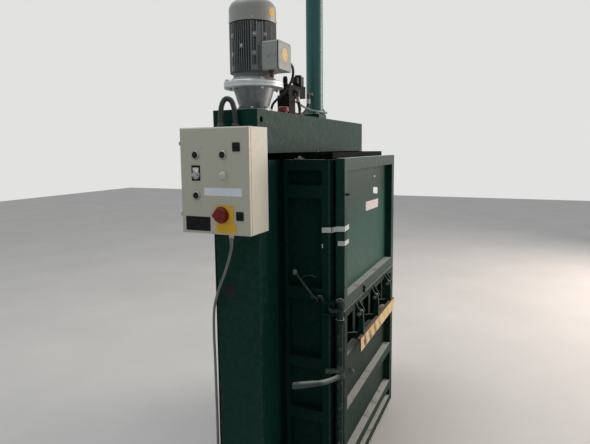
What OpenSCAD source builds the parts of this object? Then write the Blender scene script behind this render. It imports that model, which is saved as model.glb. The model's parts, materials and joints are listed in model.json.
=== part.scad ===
// Vertical hydraulic baler for cardboard and film, in millimetres.
// The doors face -Y, +X is to the right of someone who stands in front of them, and the
// origin is on the floor, midway between the two columns and on their centre plane.

/* [Portal frame] */
// Width over the two columns
portal_w = 1435; // [1300:5:1600]
// Depth of the columns and of the top beam, front to back
column_d = 200; // [160:5:240]
// Depth of the column channel's flanges
column_flange = 62; // [50:1:75]
// Thickness of the column's plate
column_t = 8; // [5:1:12]
// Gap between the chamber's walls and the top beam
beam_gap = 30; // [20:1:120]
// Height of the top beam
beam_h = 172; // [150:1:220]
// Thickness of the beam's plates
beam_t = 8; // [6:1:12]

/* [Chamber] */
// Width inside the chamber
chamber_w = 880; // [700:10:900]
// Depth inside the chamber
chamber_d = 534; // [450:2:620]
// Distance from the columns' centre plane to the chamber's front
chamber_front = 322; // [300:1:350]
// Height of the chamber's walls
wall_top = 1543; // [1500:1:1550]
// Thickness of the wall sheets
wall_t = 6; // [4:1:8]
// How far ribs and posts stand out from the walls
rib_out = 43; // [30:1:50]
// Sheet thickness of the ribs
rib_t = 4; // [3:0.5:6]
// Height of the chamber's deck
deck_z = 110; // [90:1:130]
// Width of the strap grooves in the deck and the platen
groove_w = 30; // [20:1:40]

/* [Doors] */
// How far the doors reach past the inside of the chamber on each side
door_side = 22.5; // [10:0.5:26]
// Thickness of both doors
door_t = 40; // [36:1:50]
// Gap between the doors and the chamber's front
door_gap = 8; // [5:1:12]
// How far the upper door stands above the walls
door_over = 5; // [0:1:8]
// Height of the line between the two doors
door_split = 893; // [860:1:930]
// Bottom edge of the lower door
door_bottom = 52; // [48:1:60]
// Sheet thickness of the doors
door_sheet = 4; // [3:0.5:5]
// Width of the latch-side stile
stile_w = 40; // [34:1:60]
// Width of the hinge-side stile
hinge_stile_w = 52; // [40:1:70]
// Radius of the hinge pins
hinge_pin_r = 8; // [6:0.5:9]
// Width of one slot in the lower door
slot_w = 100; // [80:2:110]

/* [Ram] */
// Outer radius of the cylinder barrel
barrel_r = 43; // [40:1:55]
// Wall of the cylinder barrel
barrel_t = 7; // [6:0.5:10]
// Radius of the piston rod
rod_r = 22; // [18:1:28]
// Stroke of the platen
stroke = 800; // [600:10:840]
// Height of the platen
platen_h = 100; // [80:1:120]
// Gap between the platen and the walls
platen_gap = 15; // [12:1:20]

/* [Power unit] */
// Distance from the beam's left end to the motor's axis
motor_inset = 162; // [150:1:200]
// Radius over the motor's fins
motor_r = 97.5; // [90:0.5:105]
// Radius of the motor's flange
flange_r = 125; // [110:1:130]
// Height of the bell housing
bell_h = 109; // [100:1:150]
// Length of the finned part of the motor
fins_h = 199; // [180:1:240]
// Height of the fan cowl
cowl_h = 92; // [80:1:120]
// Radius of the motor's shaft
shaft_r = 14; // [12:0.5:16]

/* [Control cabinet] */
// Width of the cabinet
cabinet_w = 300; // [260:5:340]
// Height of the cabinet
cabinet_h = 400; // [360:5:440]
// Depth of the cabinet
cabinet_d = 150; // [120:5:180]
// Distance from the top of the beam down to the top of the cabinet
cabinet_drop = 73; // [40:1:140]
// Sheet thickness of the cabinet
cabinet_t = 2; // [1.5:0.5:3]
// Radius of a push button
button_r = 12; // [9:0.5:13]

/* [Latches] */
// Radius of the latch shaft
latch_r = 13; // [11:0.5:14]
// Distance from the door's edge to the latch shaft's axis
latch_off = 37; // [34:0.5:40]
// Height of the latch lever
lever_z = 640; // [600:5:700]
// Radius of the lever's tube
lever_r = 11; // [7:0.5:12]

/* [Hidden] */

$fn = 48;
seat = 0.3;
run_gap = 0.05;
eps = 0.01;
deep = 3000;

// Heights and planes that several pieces share
foot_t = 8;
base_h = 45;
half_w = chamber_w / 2;
wall_out = half_w + wall_t;
rib_face = wall_out + rib_out;
rear_in = chamber_d - chamber_front;
rear_face = rear_in + wall_t + rib_out;
column_out = portal_w / 2;
column_in = column_out - column_flange;
beam_z = wall_top + beam_gap;
beam_top = beam_z + beam_h;
door_top = wall_top + door_over;
door_back = -chamber_front - door_gap;
door_front = door_back - door_t;
door_right = half_w + door_side;
door_left = -door_right;
slot_pitch = chamber_w / 6.4;
ram_y = (rear_in - chamber_front) / 2;
post_w = 45;
web_y = 60;
web_t = 5;

// Levels of the ribs: underside and height of each, on the side and rear walls
rib_levels = [[door_bottom + 94, 46], [door_bottom + 326, 50], [door_split - 273, 52],
              [door_split + 43, 52], [wall_top - 164, 56], [wall_top - 45, 45]];
split_gap = 4;

// Rectangle with rounded corners, centred
module round_rect(size, r) {
    square([size.x - 2 * r, size.y], center = true);
    square([size.x, size.y - 2 * r], center = true);
    for (sx = [-1, 1], sy = [-1, 1])
        translate([sx * (size.x / 2 - r), sy * (size.y / 2 - r)]) circle(r);
}

// Box between two corners
module block(low, high) {
    translate(low) cube(high - low);
}

// Ring between two radii
module ring(outer, inner, h) {
    difference() {
        cylinder(r = outer, h = h);
        translate([0, 0, -1]) cylinder(r = inner, h = h + 2);
    }
}

// Hexagon head or nut, across flats
module hexagon(flats, h) {
    cylinder(d = flats / cos(30), h = h, $fn = 6);
}

// Smooth curve through hand-chosen points, and a tube swept along it
function unit(v) = v / norm(v);
function spline(a, b, c, d, t) =
    0.5 * (2 * b + (c - a) * t + (2 * a - 5 * b + 4 * c - d) * t * t
           + (3 * b - a - 3 * c + d) * t * t * t);
function smooth(p, n) = let (last = len(p) - 1) [
    for (i = [0:last - 1], k = [0:n - 1])
        spline(p[max(i - 1, 0)], p[i], p[i + 1], p[min(i + 2, last)], k / n),
    p[last]];
function tangents(p) = let (last = len(p) - 1)
    [for (i = [0:last]) unit(p[min(i + 1, last)] - p[max(i - 1, 0)])];
function square_to(v, t) = unit(v - (v * t) * t);
function first_side(t) = square_to(abs(t.z) < 0.8 ? [0, 0, 1] : [1, 0, 0], t);
function sides_along(t, i, v) = i == len(t) ? []
    : let (s = square_to(v, t[i])) concat([s], sides_along(t, i + 1, s));

// Straight ends, so that a swept tube's end face lies flat on its fitting
function lead(at, dir, step = 5) = [for (i = [0:2]) at + i * step * dir];
function trail(at, dir, step = 5) = [for (i = [2:-1:0]) at - i * step * dir];

module tube(points, r, faces = 8, steps = 3) {
    p = smooth(points, steps);
    t = tangents(p);
    s = sides_along(t, 0, first_side(t[0]));
    last = len(p) - 1;
    shell = [for (i = [0:last], k = [0:faces - 1]) let (a = 360 * k / faces)
        p[i] + r * (cos(a) * s[i] + sin(a) * cross(t[i], s[i]))];
    skin = [for (i = [0:last - 1], k = [0:faces - 1]) let (j = (k + 1) % faces)
        [i * faces + k, (i + 1) * faces + k, (i + 1) * faces + j, i * faces + j]];
    ends = [[for (k = [0:faces - 1]) k], [for (k = [faces - 1:-1:0]) last * faces + k]];
    polyhedron(points = shell, faces = concat(ends, skin), convexity = 8);
}

// Base: two skids under the side walls, cross members, and a bar that ties the columns
module base_frame() {
    t = 6;
    color([0.07, 0.19, 0.16]) difference() {
        union() {
            for (s = [-1, 1])
                block([s * (rib_face + half_w) / 2 - (rib_face - half_w) / 2, -chamber_front, 0],
                      [s * (rib_face + half_w) / 2 + (rib_face - half_w) / 2, rear_face, base_h]);
            for (y = [-chamber_front, rear_face - post_w])
                block([-half_w - 1, y, 0], [half_w + 1, y + post_w, base_h]);
            block([-column_out + column_t, -base_h, foot_t], [column_out - column_t, base_h, base_h]);
            block([-column_in + 22, -base_h, 0], [column_in - 22, base_h, base_h]);
        }
        // Hollow sections: skids open at the rear, cross members open to the inside
        for (s = [-1, 1])
            block([s * (rib_face + half_w) / 2 - (rib_face - half_w) / 2 + t, -chamber_front + t, t],
                  [s * (rib_face + half_w) / 2 + (rib_face - half_w) / 2 - t, deep, base_h - t]);
        block([-half_w + t, -chamber_front + t, t],
              [half_w - t, -chamber_front + post_w + 1, base_h - t]);
        block([-half_w + t, rear_face - post_w - 1, t], [half_w - t, rear_face - t, base_h - t]);
        block([-deep, -base_h + t, foot_t + t], [deep, base_h - t, base_h - t]);
    }
}

// Column: upright channel with its web outside, on a drilled foot plate
module column(s) {
    color([0.07, 0.22, 0.19]) {
        translate([0, 0, foot_t]) linear_extrude(beam_z - foot_t) difference() {
            translate([s > 0 ? column_in : -column_out, -column_d / 2])
                square([column_flange, column_d]);
            translate([s > 0 ? column_in - 1 : -column_out + column_t, -column_d / 2 + column_t])
                square([column_flange - column_t + 1, column_d - 2 * column_t]);
        }
        difference() {
            block([s > 0 ? column_in - 20 : -column_out, -column_d / 2 - 20, 0],
                  [s > 0 ? column_out : -column_in + 20, column_d / 2 + 20, foot_t]);
            for (y = [-1, 1])
                translate([s * (column_in - 8), y * (column_d / 2 + 9), -1])
                    cylinder(r = 5, h = foot_t + 2);
        }
    }
}
module left_column() { column(-1); }
module right_column() { column(1); }

// Plates that tie each column to its side wall, set back from the column's front
module column_webs() {
    color([0.06, 0.17, 0.15])
        for (s = [-1, 1], y = [-web_y, web_y - web_t])
            block([s > 0 ? wall_out : -column_out + column_t, y, base_h],
                  [s > 0 ? column_out - column_t : -wall_out, y + web_t, wall_top]);
}

// Top beam: closed box with the ram's hole, the pump's hole and a round hole in its side
module top_beam() {
    gland_hole = rod_r + 9;
    color([0.08, 0.24, 0.2]) difference() {
        block([-column_out, -column_d / 2, beam_z], [column_out, column_d / 2, beam_top]);
        block([-column_out + beam_t, -column_d / 2 + beam_t, beam_z + beam_t],
              [column_out - beam_t, column_d / 2 - beam_t, beam_top - beam_t]);
        translate([0, ram_y, beam_z - 1]) cylinder(r = gland_hole, h = beam_h + 2);
        translate([motor_x, 0, beam_top - beam_t - 1]) cylinder(r = pump_r + 2, h = beam_t + 2);
        translate([-column_out + 34, 0, beam_top - 40]) rotate([90, 0, 0]) cylinder(r = 13.5, h = deep);
    }
}

// Folded rib: a channel that is open towards the wall, its length along X from the origin
module rib(length, h) {
    rotate([90, 0, 90]) linear_extrude(length) polygon([
        [0, 0], [rib_out, 0], [rib_out, h], [0, h], [0, h - rib_t],
        [rib_out - rib_t, h - rib_t], [rib_out - rib_t, rib_t], [0, rib_t]]);
}

// Hollow square post
module post(x, y, size_x, size_y) {
    translate([x, y, base_h]) linear_extrude(wall_top - base_h) difference() {
        square([size_x, size_y]);
        translate([rib_t, rib_t]) square([size_x - 2 * rib_t, size_y - 2 * rib_t]);
    }
}

// Side wall: sheet, front and rear posts, two uprights beside the column, and the ribs
module side_wall() {
    upright_w = 16;
    upright_y = column_d / 2 + 2;
    block([half_w, -chamber_front, base_h], [wall_out, rear_in, wall_top]);
    post(half_w, -chamber_front, rib_face - half_w, post_w);
    post(half_w, rear_in, rib_face - half_w, rear_face - rear_in);
    for (y = [-upright_y - upright_w, upright_y])
        post(wall_out, y, rib_out, upright_w);
    for (level = rib_levels, span = [[-chamber_front + post_w, -upright_y - upright_w],
                                     [upright_y + upright_w, rear_in]])
        translate([wall_out, span[1], level[0]]) rotate([0, 0, -90])
            rib(span[1] - span[0], level[1]);
}

// Hinge knuckles: each door turns on two pins, between an upper and a lower ear of the post
hinge_x = door_right + 17.5;
hinge_y = (door_back + door_front) / 2;
knuckle_r = hinge_pin_r + 5;
knuckle_h = 50;
ear_h = 30;
hinge_levels = [door_bottom + 90, door_split - 190, door_split + 90, door_top - 150];

module post_ear(z) {
    translate([hinge_x, hinge_y, z]) cylinder(r = knuckle_r, h = ear_h);
    block([hinge_x - knuckle_r, hinge_y, z], [rib_face + 4, -chamber_front, z + ear_h]);
}

module left_wall() {
    color([0.06, 0.18, 0.15]) mirror([1, 0, 0]) side_wall();
}

module right_wall() {
    color([0.06, 0.18, 0.15]) difference() {
        union() {
            side_wall();
            for (z = hinge_levels) {
                post_ear(z - ear_h - run_gap);
                post_ear(z + knuckle_h + run_gap);
            }
        }
        for (z = hinge_levels)
            translate([hinge_x, hinge_y, z - ear_h - 1])
                cylinder(r = hinge_pin_r + run_gap, h = knuckle_h + 2 * ear_h + 2);
    }
}

// Rear wall: sheet and ribs
module rear_wall() {
    color([0.06, 0.18, 0.15]) {
        block([-half_w, rear_in, base_h], [half_w, rear_in + wall_t, wall_top]);
        for (level = rib_levels)
            translate([-half_w, rear_in + wall_t, level[0]]) rib(chamber_w, level[1]);
    }
}

// Deck of the chamber on five joists, with grooves that the straps are threaded through
module chamber_deck() {
    joist_w = 60;
    deck_t = 8;
    color([0.12, 0.2, 0.18]) difference() {
        union() {
            block([-half_w, -chamber_front, deck_z - deck_t], [half_w, rear_in, deck_z]);
            for (i = [-2:2]) {
                block([i * slot_pitch - groove_w / 2 - 4, -chamber_front, deck_z - 22],
                      [i * slot_pitch + groove_w / 2 + 4, rear_in, deck_z - deck_t + eps]);
                difference() {
                    block([i * 190 - joist_w / 2, -chamber_front, base_h],
                          [i * 190 + joist_w / 2, rear_in, deck_z - deck_t + eps]);
                    block([i * 190 - joist_w / 2 + 4, -deep, base_h + 4],
                          [i * 190 + joist_w / 2 - 4, deep, deck_z - deck_t - 4]);
                }
            }
        }
        strap_grooves(deck_z - 18);
    }
}

module strap_grooves(z) {
    for (i = [-2:2])
        block([i * slot_pitch - groove_w / 2, -deep, z], [i * slot_pitch + groove_w / 2, deep, z + 50]);
}

module hinge_pins() {
    color([0.55, 0.56, 0.56]) for (z = hinge_levels)
        translate([hinge_x, hinge_y, z - ear_h]) {
            cylinder(r = hinge_pin_r, h = knuckle_h + 2 * ear_h + 3);
            translate([0, 0, knuckle_h + 2 * ear_h + run_gap]) cylinder(r = hinge_pin_r + 4, h = 5);
        }
}

// Pan door: a sheet with folded rims, from z0 to z1, and its two knuckles
module pan_door(z0, z1, bars) {
    difference() {
        union() {
            block([door_left, door_back - door_sheet, z0], [door_right, door_back, z1]);
            block([door_left, door_front, z0], [door_left + stile_w, door_back, z1]);
            block([door_right - hinge_stile_w, door_front, z0], [door_right, door_back, z1]);
            for (bar = bars)
                block([door_left, door_front, bar[0]], [door_right, door_back, bar[1]]);
            for (z = hinge_levels) if (z > z0 && z < z1) {
                translate([hinge_x, hinge_y, z]) cylinder(r = knuckle_r, h = knuckle_h);
                block([door_right - 1, hinge_y - 6, z], [hinge_x, hinge_y + 6, z + knuckle_h]);
            }
        }
        // Rims are folded sheet, open at the back
        block([door_left + door_sheet, door_front + door_sheet, z0 + door_sheet],
              [door_left + stile_w - door_sheet, door_back + 1, z1 - door_sheet]);
        block([door_right - hinge_stile_w + door_sheet, door_front + door_sheet, z0 + door_sheet],
              [door_right - door_sheet, door_back + 1, z1 - door_sheet]);
        for (bar = bars)
            block([door_left + stile_w, door_front + door_sheet, bar[0] + door_sheet],
                  [door_right - hinge_stile_w, door_back + 1, bar[1] - door_sheet]);
        for (z = hinge_levels)
            translate([hinge_x, hinge_y, z - 1]) cylinder(r = hinge_pin_r + run_gap, h = knuckle_h + 2);
    }
}

upper_z0 = door_split + split_gap / 2;
upper_sill = 55;
upper_rail = 52;

module upper_door() {
    color([0.08, 0.24, 0.2])
        pan_door(upper_z0, door_top,
                 [[upper_z0, upper_z0 + upper_sill], [door_top - upper_rail, door_top]]);
}

// Lower door: slot zone with the strap slots, three ledges and the retainers' ears
lower_z1 = door_split - split_gap / 2;
zone_z0 = door_split - 212;
zone_z1 = door_split - 33;
ear_t = 6;
retainer_z = zone_z1 - 26;
retainer_y = door_front - 18;
retainer_pin_r = 6;
retainer_x = 2 * slot_pitch;
retainer_places = [-retainer_x, 0, retainer_x];
ear_gap = 25;

function rib_bar(i) = [rib_levels[i][0], rib_levels[i][0] + rib_levels[i][1]];
module lower_door() {
    color([0.08, 0.24, 0.2]) difference() {
        union() {
            pan_door(door_bottom, lower_z1, [[door_bottom, door_bottom + 44], rib_bar(0), rib_bar(1),
                                             [zone_z0 - 46, zone_z0], [zone_z1, lower_z1]]);
            for (x = retainer_places, s = [-1, 1])
                translate([x + s * ear_gap - ear_t / 2, 0, 0]) retainer_ear();
            // Two bearings that carry the latch shaft
            for (z = [latch_low_z, latch_high_z]) {
                translate([latch_x, latch_y, z]) cylinder(r = latch_r + 5, h = bearing_h);
                block([latch_x, latch_y - 6, z], [door_left + 1, latch_y + 6, z + bearing_h]);
            }
        }
        for (i = [-2:2])
            block([i * slot_pitch - slot_w / 2, door_back - door_sheet - 1, zone_z0],
                  [i * slot_pitch + slot_w / 2, door_back + 1, zone_z1]);
        for (s = [-1, 1])
            block([s * 2.7 * slot_pitch - 20, door_back - door_sheet - 1, zone_z0],
                  [s * 2.7 * slot_pitch + 20, door_back + 1, zone_z1]);
        for (z = [latch_low_z, latch_high_z])
            translate([latch_x, latch_y, z - 1]) cylinder(r = latch_r + run_gap, h = bearing_h + 2);
        for (x = retainer_places)
            translate([x - ear_gap - ear_t, retainer_y, retainer_z]) rotate([0, 90, 0])
                cylinder(r = retainer_pin_r + run_gap, h = 2 * (ear_gap + ear_t));
        translate([-1.25 * slot_pitch, door_front - 1, lower_z1 - 14]) rotate([-90, 0, 0])
            cylinder(r = 7, h = door_sheet + 2);
    }
}

module retainer_ear() {
    rotate([90, 0, 90]) linear_extrude(ear_t) {
        translate([retainer_y, retainer_z]) circle(13);
        polygon([[door_front + 1, zone_z1 + 2], [door_front + 1, lower_z1 - 4],
                 [retainer_y - 12, retainer_z + 6], [retainer_y - 10, retainer_z - 8],
                 [door_front + 1, zone_z1 - 2]]);
    }
}

// Retainers: three dogs that reach through the slots, joined by the bar across the door
bar_y = retainer_y - 14;
bar_z0 = zone_z0 - 12;
bar_h = 62;
bar_z1 = bar_z0 + bar_h;
bar_past = 65;
bar_half = retainer_x + bar_past;
dog_t = 10;

module retainer_bar() {
    bar_t = 6;
    color([0.85, 0.68, 0.2]) {
        for (x = retainer_places)
            translate([x - dog_t / 2, 0, 0]) retainer_dog();
        block([-bar_half, bar_y - bar_t, bar_z0], [bar_half, bar_y, bar_z1]);
        block([-bar_half, bar_y - bar_t, bar_z1 - bar_t], [bar_half, bar_y + 12, bar_z1]);
    }
}

module retainer_dog() {
    nose_y = -chamber_front + 9;
    rotate([90, 0, 90]) linear_extrude(dog_t) difference() {
        union() {
            translate([retainer_y, retainer_z]) circle(13);
            polygon([[retainer_y - 12, retainer_z], [bar_y - 1, retainer_z - 40], [bar_y - 1, bar_z0 + 4],
                     [bar_y + 12, bar_z0 + 4], [bar_y + 16, zone_z0 + 22], [nose_y, zone_z0 + 26],
                     [nose_y, zone_z0 + 44], [bar_y + 28, zone_z0 + 56],
                     [retainer_y + 10, retainer_z - 34], [retainer_y + 12, retainer_z]]);
        }
        translate([retainer_y, retainer_z]) circle(retainer_pin_r + run_gap);
    }
}

module retainer_pins() {
    color([0.5, 0.51, 0.5]) for (x = retainer_places)
        translate([x - ear_gap - ear_t, retainer_y, retainer_z]) rotate([0, 90, 0]) {
            cylinder(r = retainer_pin_r, h = 2 * (ear_gap + ear_t));
            translate([0, 0, -4]) cylinder(r = retainer_pin_r + 3, h = 4);
            translate([0, 0, 2 * (ear_gap + ear_t)]) cylinder(r = retainer_pin_r + 3, h = 4);
        }
}

// Torsion springs beside each dog, wound round the pins
module retainer_springs() {
    coil_r = 7.7;
    wire_r = 1.4;
    turns = 4;
    step = 30;
    tail = 26;
    color([0.35, 0.36, 0.36]) for (x = retainer_places)
        translate([x + dog_t / 2 + 1.7, retainer_y, retainer_z])
            tube(concat([[0, coil_r, -tail]],
                        [for (a = [0:step:360 * turns])
                            [a / 360 * 3.4, coil_r * cos(a), coil_r * sin(a)]],
                        [[turns * 3.4, coil_r, tail * 0.6]]),
                 wire_r, faces = 5, steps = 1);
}

// Latch: shaft in the door's bearings, with two hooks, a collar and a cross rod
latch_x = door_left - latch_off;
latch_y = door_front + 7;
latch_low_z = door_bottom + 188;
latch_high_z = door_split - 38;
bearing_h = 15;
latch_top = door_split + 58;
latch_bottom = door_bottom + 108;
hook_low_z = door_bottom + 138;
hook_high_z = door_split + 15;
hook_t = 12;
keeper_r = 6;
keeper_x = -rib_face - 20;
keeper_y = -chamber_front - 13;
latch_turn = 20;
cross_back = 63;
cross_front = 47;

// Hook in the closed position about the shaft, turned open by latch_turn
module hook_shape() {
    reach = norm([keeper_x - latch_x, keeper_y - latch_y]);
    at = atan2(keeper_y - latch_y, keeper_x - latch_x);
    side = keeper_r + 8;
    rotate(at + latch_turn) {
        circle(latch_r + 6);
        translate([0, side - 6]) square([reach + keeper_r + 16, 12]);
        translate([0, -4]) square([latch_r + 10, side + 10]);
        translate([reach + keeper_r + 3, -6]) square([13, side + 12]);
    }
}

module latch_shaft() {
    color([0.42, 0.44, 0.42]) translate([latch_x, latch_y, 0]) {
        translate([0, 0, latch_bottom]) cylinder(r = latch_r, h = latch_top - latch_bottom);
        translate([0, 0, latch_top - 8]) cylinder(r = latch_r + 4, h = 8);
        translate([0, 0, latch_low_z + bearing_h + run_gap]) cylinder(r = latch_r + 5, h = 10);
        for (z = [hook_low_z, hook_high_z])
            translate([0, 0, z]) linear_extrude(hook_t) hook_shape();
        // Cross rod: its front end meets the door's face and stops the latch
        translate([0, 0, lever_z]) rotate([0, 0, -69]) rotate([0, 90, 0]) {
            translate([0, 0, -cross_back]) cylinder(r = lever_r, h = cross_back + cross_front);
            translate([0, 0, cross_front]) sphere(lever_r + 3);
        }
    }
}

// Hand lever: bent tube with a socket that is pressed on the shaft
lever_l = 150;
lever_bend = [-lever_l, 64];
lever_end = [-lever_l - 50, 136];
grip_start = [lever_bend.x, lever_bend.y, 28];
grip_along = unit([lever_end.x - lever_bend.x, lever_end.y - lever_bend.y, 0]);
module latch_lever() {
    color([0.45, 0.5, 0.47]) translate([latch_x, latch_y, lever_z - 28]) {
        ring(latch_r + 6, latch_r + run_gap / 2, 16);
        tube(concat([[-16, 4, 8], [-60, 18, 12], [-100, 29, 20]],
                    [for (back = [32, 16, 8, 0]) grip_start - back * grip_along]),
             lever_r, faces = 16, steps = 3);
    }
}
module lever_grip() {
    grip_l = norm(lever_end - lever_bend);
    color([0.3, 0.34, 0.33]) translate([latch_x, latch_y, lever_z - 28] + grip_start)
        rotate([0, 0, atan2(grip_along.y, grip_along.x)]) rotate([0, 90, 0]) {
            cylinder(r1 = 12.5, r2 = 13.5, h = grip_l - 6);
            translate([0, 0, grip_l - 6]) cylinder(r1 = 13.5, r2 = 10, h = 6);
        }
}

// Keepers: upright pegs on the left post that the hooks close behind
module latch_keepers() {
    peg_h = 44;
    color([0.1, 0.26, 0.22]) for (z = [hook_low_z, hook_high_z]) {
        translate([keeper_x, keeper_y, z + hook_t / 2 - peg_h / 2]) cylinder(r = keeper_r, h = peg_h);
        for (s = [-1, 1])
            translate([keeper_x, keeper_y, z + hook_t / 2 + s * (peg_h / 2 + 3) - 3]) {
                cylinder(r = keeper_r + 4, h = 6);
                block([0, -keeper_r - 4, 0], [-rib_face - keeper_x, keeper_r + 40, 6]);
                block([-keeper_r - 4, 0, 0], [1, keeper_r + 40, 6]);
            }
    }
}

// Side catch: hooked arm with a ball knob, on a pin welded to the left wall
catch_y = -254;
catch_z = door_split + 50;
catch_base = 10;
catch_x = -rib_face - catch_base;
catch_len = 149;
catch_turn = 41;
catch_t = 8;

module catch_pin() {
    color([0.5, 0.51, 0.5]) translate([-rib_face, catch_y, catch_z]) rotate([0, -90, 0]) {
        cylinder(r = 7, h = catch_base + catch_t + 7);
        cylinder(r = 10, h = catch_base - run_gap);
        translate([0, 0, catch_base + catch_t + run_gap]) hexagon(19, 7);
    }
}

module catch_arm() {
    rod_start = 14;
    hook_r = 17;
    hook_w = 9;
    color([0.2, 0.3, 0.27]) translate([catch_x, catch_y, catch_z]) {
        rotate([0, -90, 0]) linear_extrude(catch_t) difference() {
            union() {
                circle(12);
                rotate(90 - catch_turn) translate([0, -7]) square([rod_start + 14, 14]);
                // Curved hook that closes over the post's edge
                translate([0, -hook_r]) difference() {
                    circle(hook_r + hook_w / 2);
                    circle(hook_r - hook_w / 2);
                    translate([-deep, -deep / 2]) square([deep, deep]);
                }
            }
            circle(7 + run_gap);
        }
        translate([-catch_t / 2, 0, 0]) rotate([-catch_turn, 0, 0])
            translate([0, 0, rod_start]) cylinder(r = 5, h = catch_len - rod_start - 8);
    }
}

module catch_knob() {
    color([0.3, 0.34, 0.32]) translate([catch_x - catch_t / 2, catch_y, catch_z])
        rotate([-catch_turn, 0, 0]) translate([0, 0, catch_len]) difference() {
            sphere(12);
            translate([0, 0, -20]) cylinder(r = 5 + run_gap, h = 20 - 8);
        }
}

// Platen: pressing plate with strap grooves below and a ribbed box above
platen_top = beam_z - 2;
platen_z = platen_top - platen_h;
module platen() {
    low = [-half_w + platen_gap, -chamber_front + platen_gap + 3, platen_z];
    high = [half_w - platen_gap, rear_in - platen_gap, platen_top];
    plate_t = 24;
    rib_w = 10;
    pocket = [(high.x - low.x - 5 * rib_w) / 4, (high.y - low.y - 3 * rib_w) / 2];
    color([0.25, 0.3, 0.29]) difference() {
        block(low, high);
        difference() {
            for (ix = [0:3], iy = [0:1])
                translate([low.x + rib_w + ix * (pocket.x + rib_w),
                           low.y + rib_w + iy * (pocket.y + rib_w), platen_z + plate_t])
                    cube([pocket.x, pocket.y, platen_h]);
            translate([0, ram_y, 0]) cylinder(r = rod_r + 22, h = deep);
        }
        translate([0, 0, platen_z - 50 + 16]) strap_grooves(0);
    }
}

// Piston rod, screwed to the platen, with the piston at its top
barrel_z = beam_top + 20;
piston_h = 50;
piston_z = barrel_z + 15 + stroke;
module piston_rod() {
    color([0.7, 0.71, 0.72]) translate([0, ram_y, 0]) {
        translate([0, 0, platen_top]) cylinder(r = rod_r, h = piston_z - platen_top + 1);
        translate([0, 0, piston_z]) cylinder(r = barrel_r - barrel_t - run_gap, h = piston_h);
    }
}

module cylinder_gland() {
    flange = [116, 2 * (column_d / 2 + ram_y)];
    color([0.1, 0.3, 0.25]) translate([0, ram_y, 0]) difference() {
        union() {
            translate([0, 0, beam_top]) linear_extrude(barrel_z - beam_top) difference() {
                round_rect(flange, 12);
                for (sx = [-1, 1], sy = [-1, 1])
                    translate([sx * (flange.x / 2 - 12), sy * (flange.y / 2 - 12)]) circle(5.5);
            }
            translate([0, 0, beam_top - 40]) cylinder(r = rod_r + 9 - run_gap, h = 41);
        }
        translate([0, 0, beam_top - 41]) cylinder(r = rod_r + run_gap, h = deep);
    }
}

barrel_h = piston_z + piston_h + 15 - barrel_z;
port_h = 97;
module cylinder_barrel() {
    color([0.12, 0.34, 0.29]) translate([0, ram_y, barrel_z]) {
        ring(barrel_r, barrel_r - barrel_t, barrel_h);
        translate([0, 0, barrel_h]) cylinder(r = barrel_r, h = 22);
        translate([0, 0, barrel_h + 22]) cylinder(r1 = barrel_r, r2 = barrel_r - 5, h = 5);
        // Ports at both ends
        translate([-barrel_r + 6, 0, port_h]) rotate([0, -90, 0]) difference() {
            cylinder(r = 12, h = 18);
            translate([0, 0, 6]) cylinder(r = 7, h = 20);
        }
        translate([barrel_r - 6, 0, barrel_h - 30]) rotate([0, 90, 0]) cylinder(r = 12, h = 12);
    }
}

// Thin rigid pipe from the manifold, past the barrel's foot and up to its top port
pipe_r = 5;
pipe_x = barrel_r + 28;
pipe_y = -46;
pipe_fall = 40;
module rod_side_pipe() {
    top = barrel_z + barrel_h - 30;
    foot = beam_top + 24 + pipe_r;
    front = ram_y - barrel_r - 13;
    color([0.45, 0.6, 0.5])
        tube(concat(
            lead([manifold[1].x + 6, pipe_y, foot + pipe_fall], [1, 0, 0]),
            [[manifold[1].x + 46, pipe_y - 4, foot + pipe_fall - 4],
             [manifold[1].x + 90, pipe_y - 16, foot + pipe_fall / 2],
             [-2.8 * barrel_r, (pipe_y + front) / 2, foot + 6], [-1.9 * barrel_r, front + 10, foot],
             [-barrel_r, front, foot], [0, front, foot], [0.9 * barrel_r, front + 5, foot],
             [pipe_x - 8, front + 22, foot + 5], [pipe_x, front + 42, foot + 28],
             [pipe_x, ram_y, foot + 0.09 * barrel_h], [pipe_x, ram_y, foot + 0.2 * barrel_h],
             [pipe_x, ram_y, foot + 0.55 * barrel_h], [pipe_x, ram_y, foot + 0.85 * barrel_h],
             [pipe_x, ram_y, top - 24], [pipe_x - 2, ram_y, top - 10], [pipe_x - 6, ram_y, top - 2]],
            trail([barrel_r + 12, ram_y, top], [-1, 0, 0], 1.5)), pipe_r, faces = 10, steps = 3);
}

// Power unit on the beam's left end: pump inside the beam, bell housing and motor above
motor_x = -column_out + motor_inset;
bell_z = beam_top;
motor_z = bell_z + bell_h;
shield_h = 48;
fins_z = motor_z + shield_h;
cowl_z = fins_z + fins_h;
pump_r = 44;
pump_shaft = 18;

module bell_housing() {
    foot_r = 62;
    head_r = 86;
    wall = 7;
    color([0.72, 0.73, 0.73]) translate([motor_x, 0, bell_z]) rotate_extrude() polygon([
        [shaft_r + 22, 0], [foot_r + 13, 0], [foot_r + 13, 12], [foot_r, 16], [head_r, bell_h - 14],
        [flange_r - 3, bell_h - 14], [flange_r, bell_h - 11], [flange_r, bell_h - 1],
        [flange_r - 1, bell_h], [head_r - wall, bell_h], [foot_r - wall, 16], [shaft_r + 22, 12]]);
}

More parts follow.
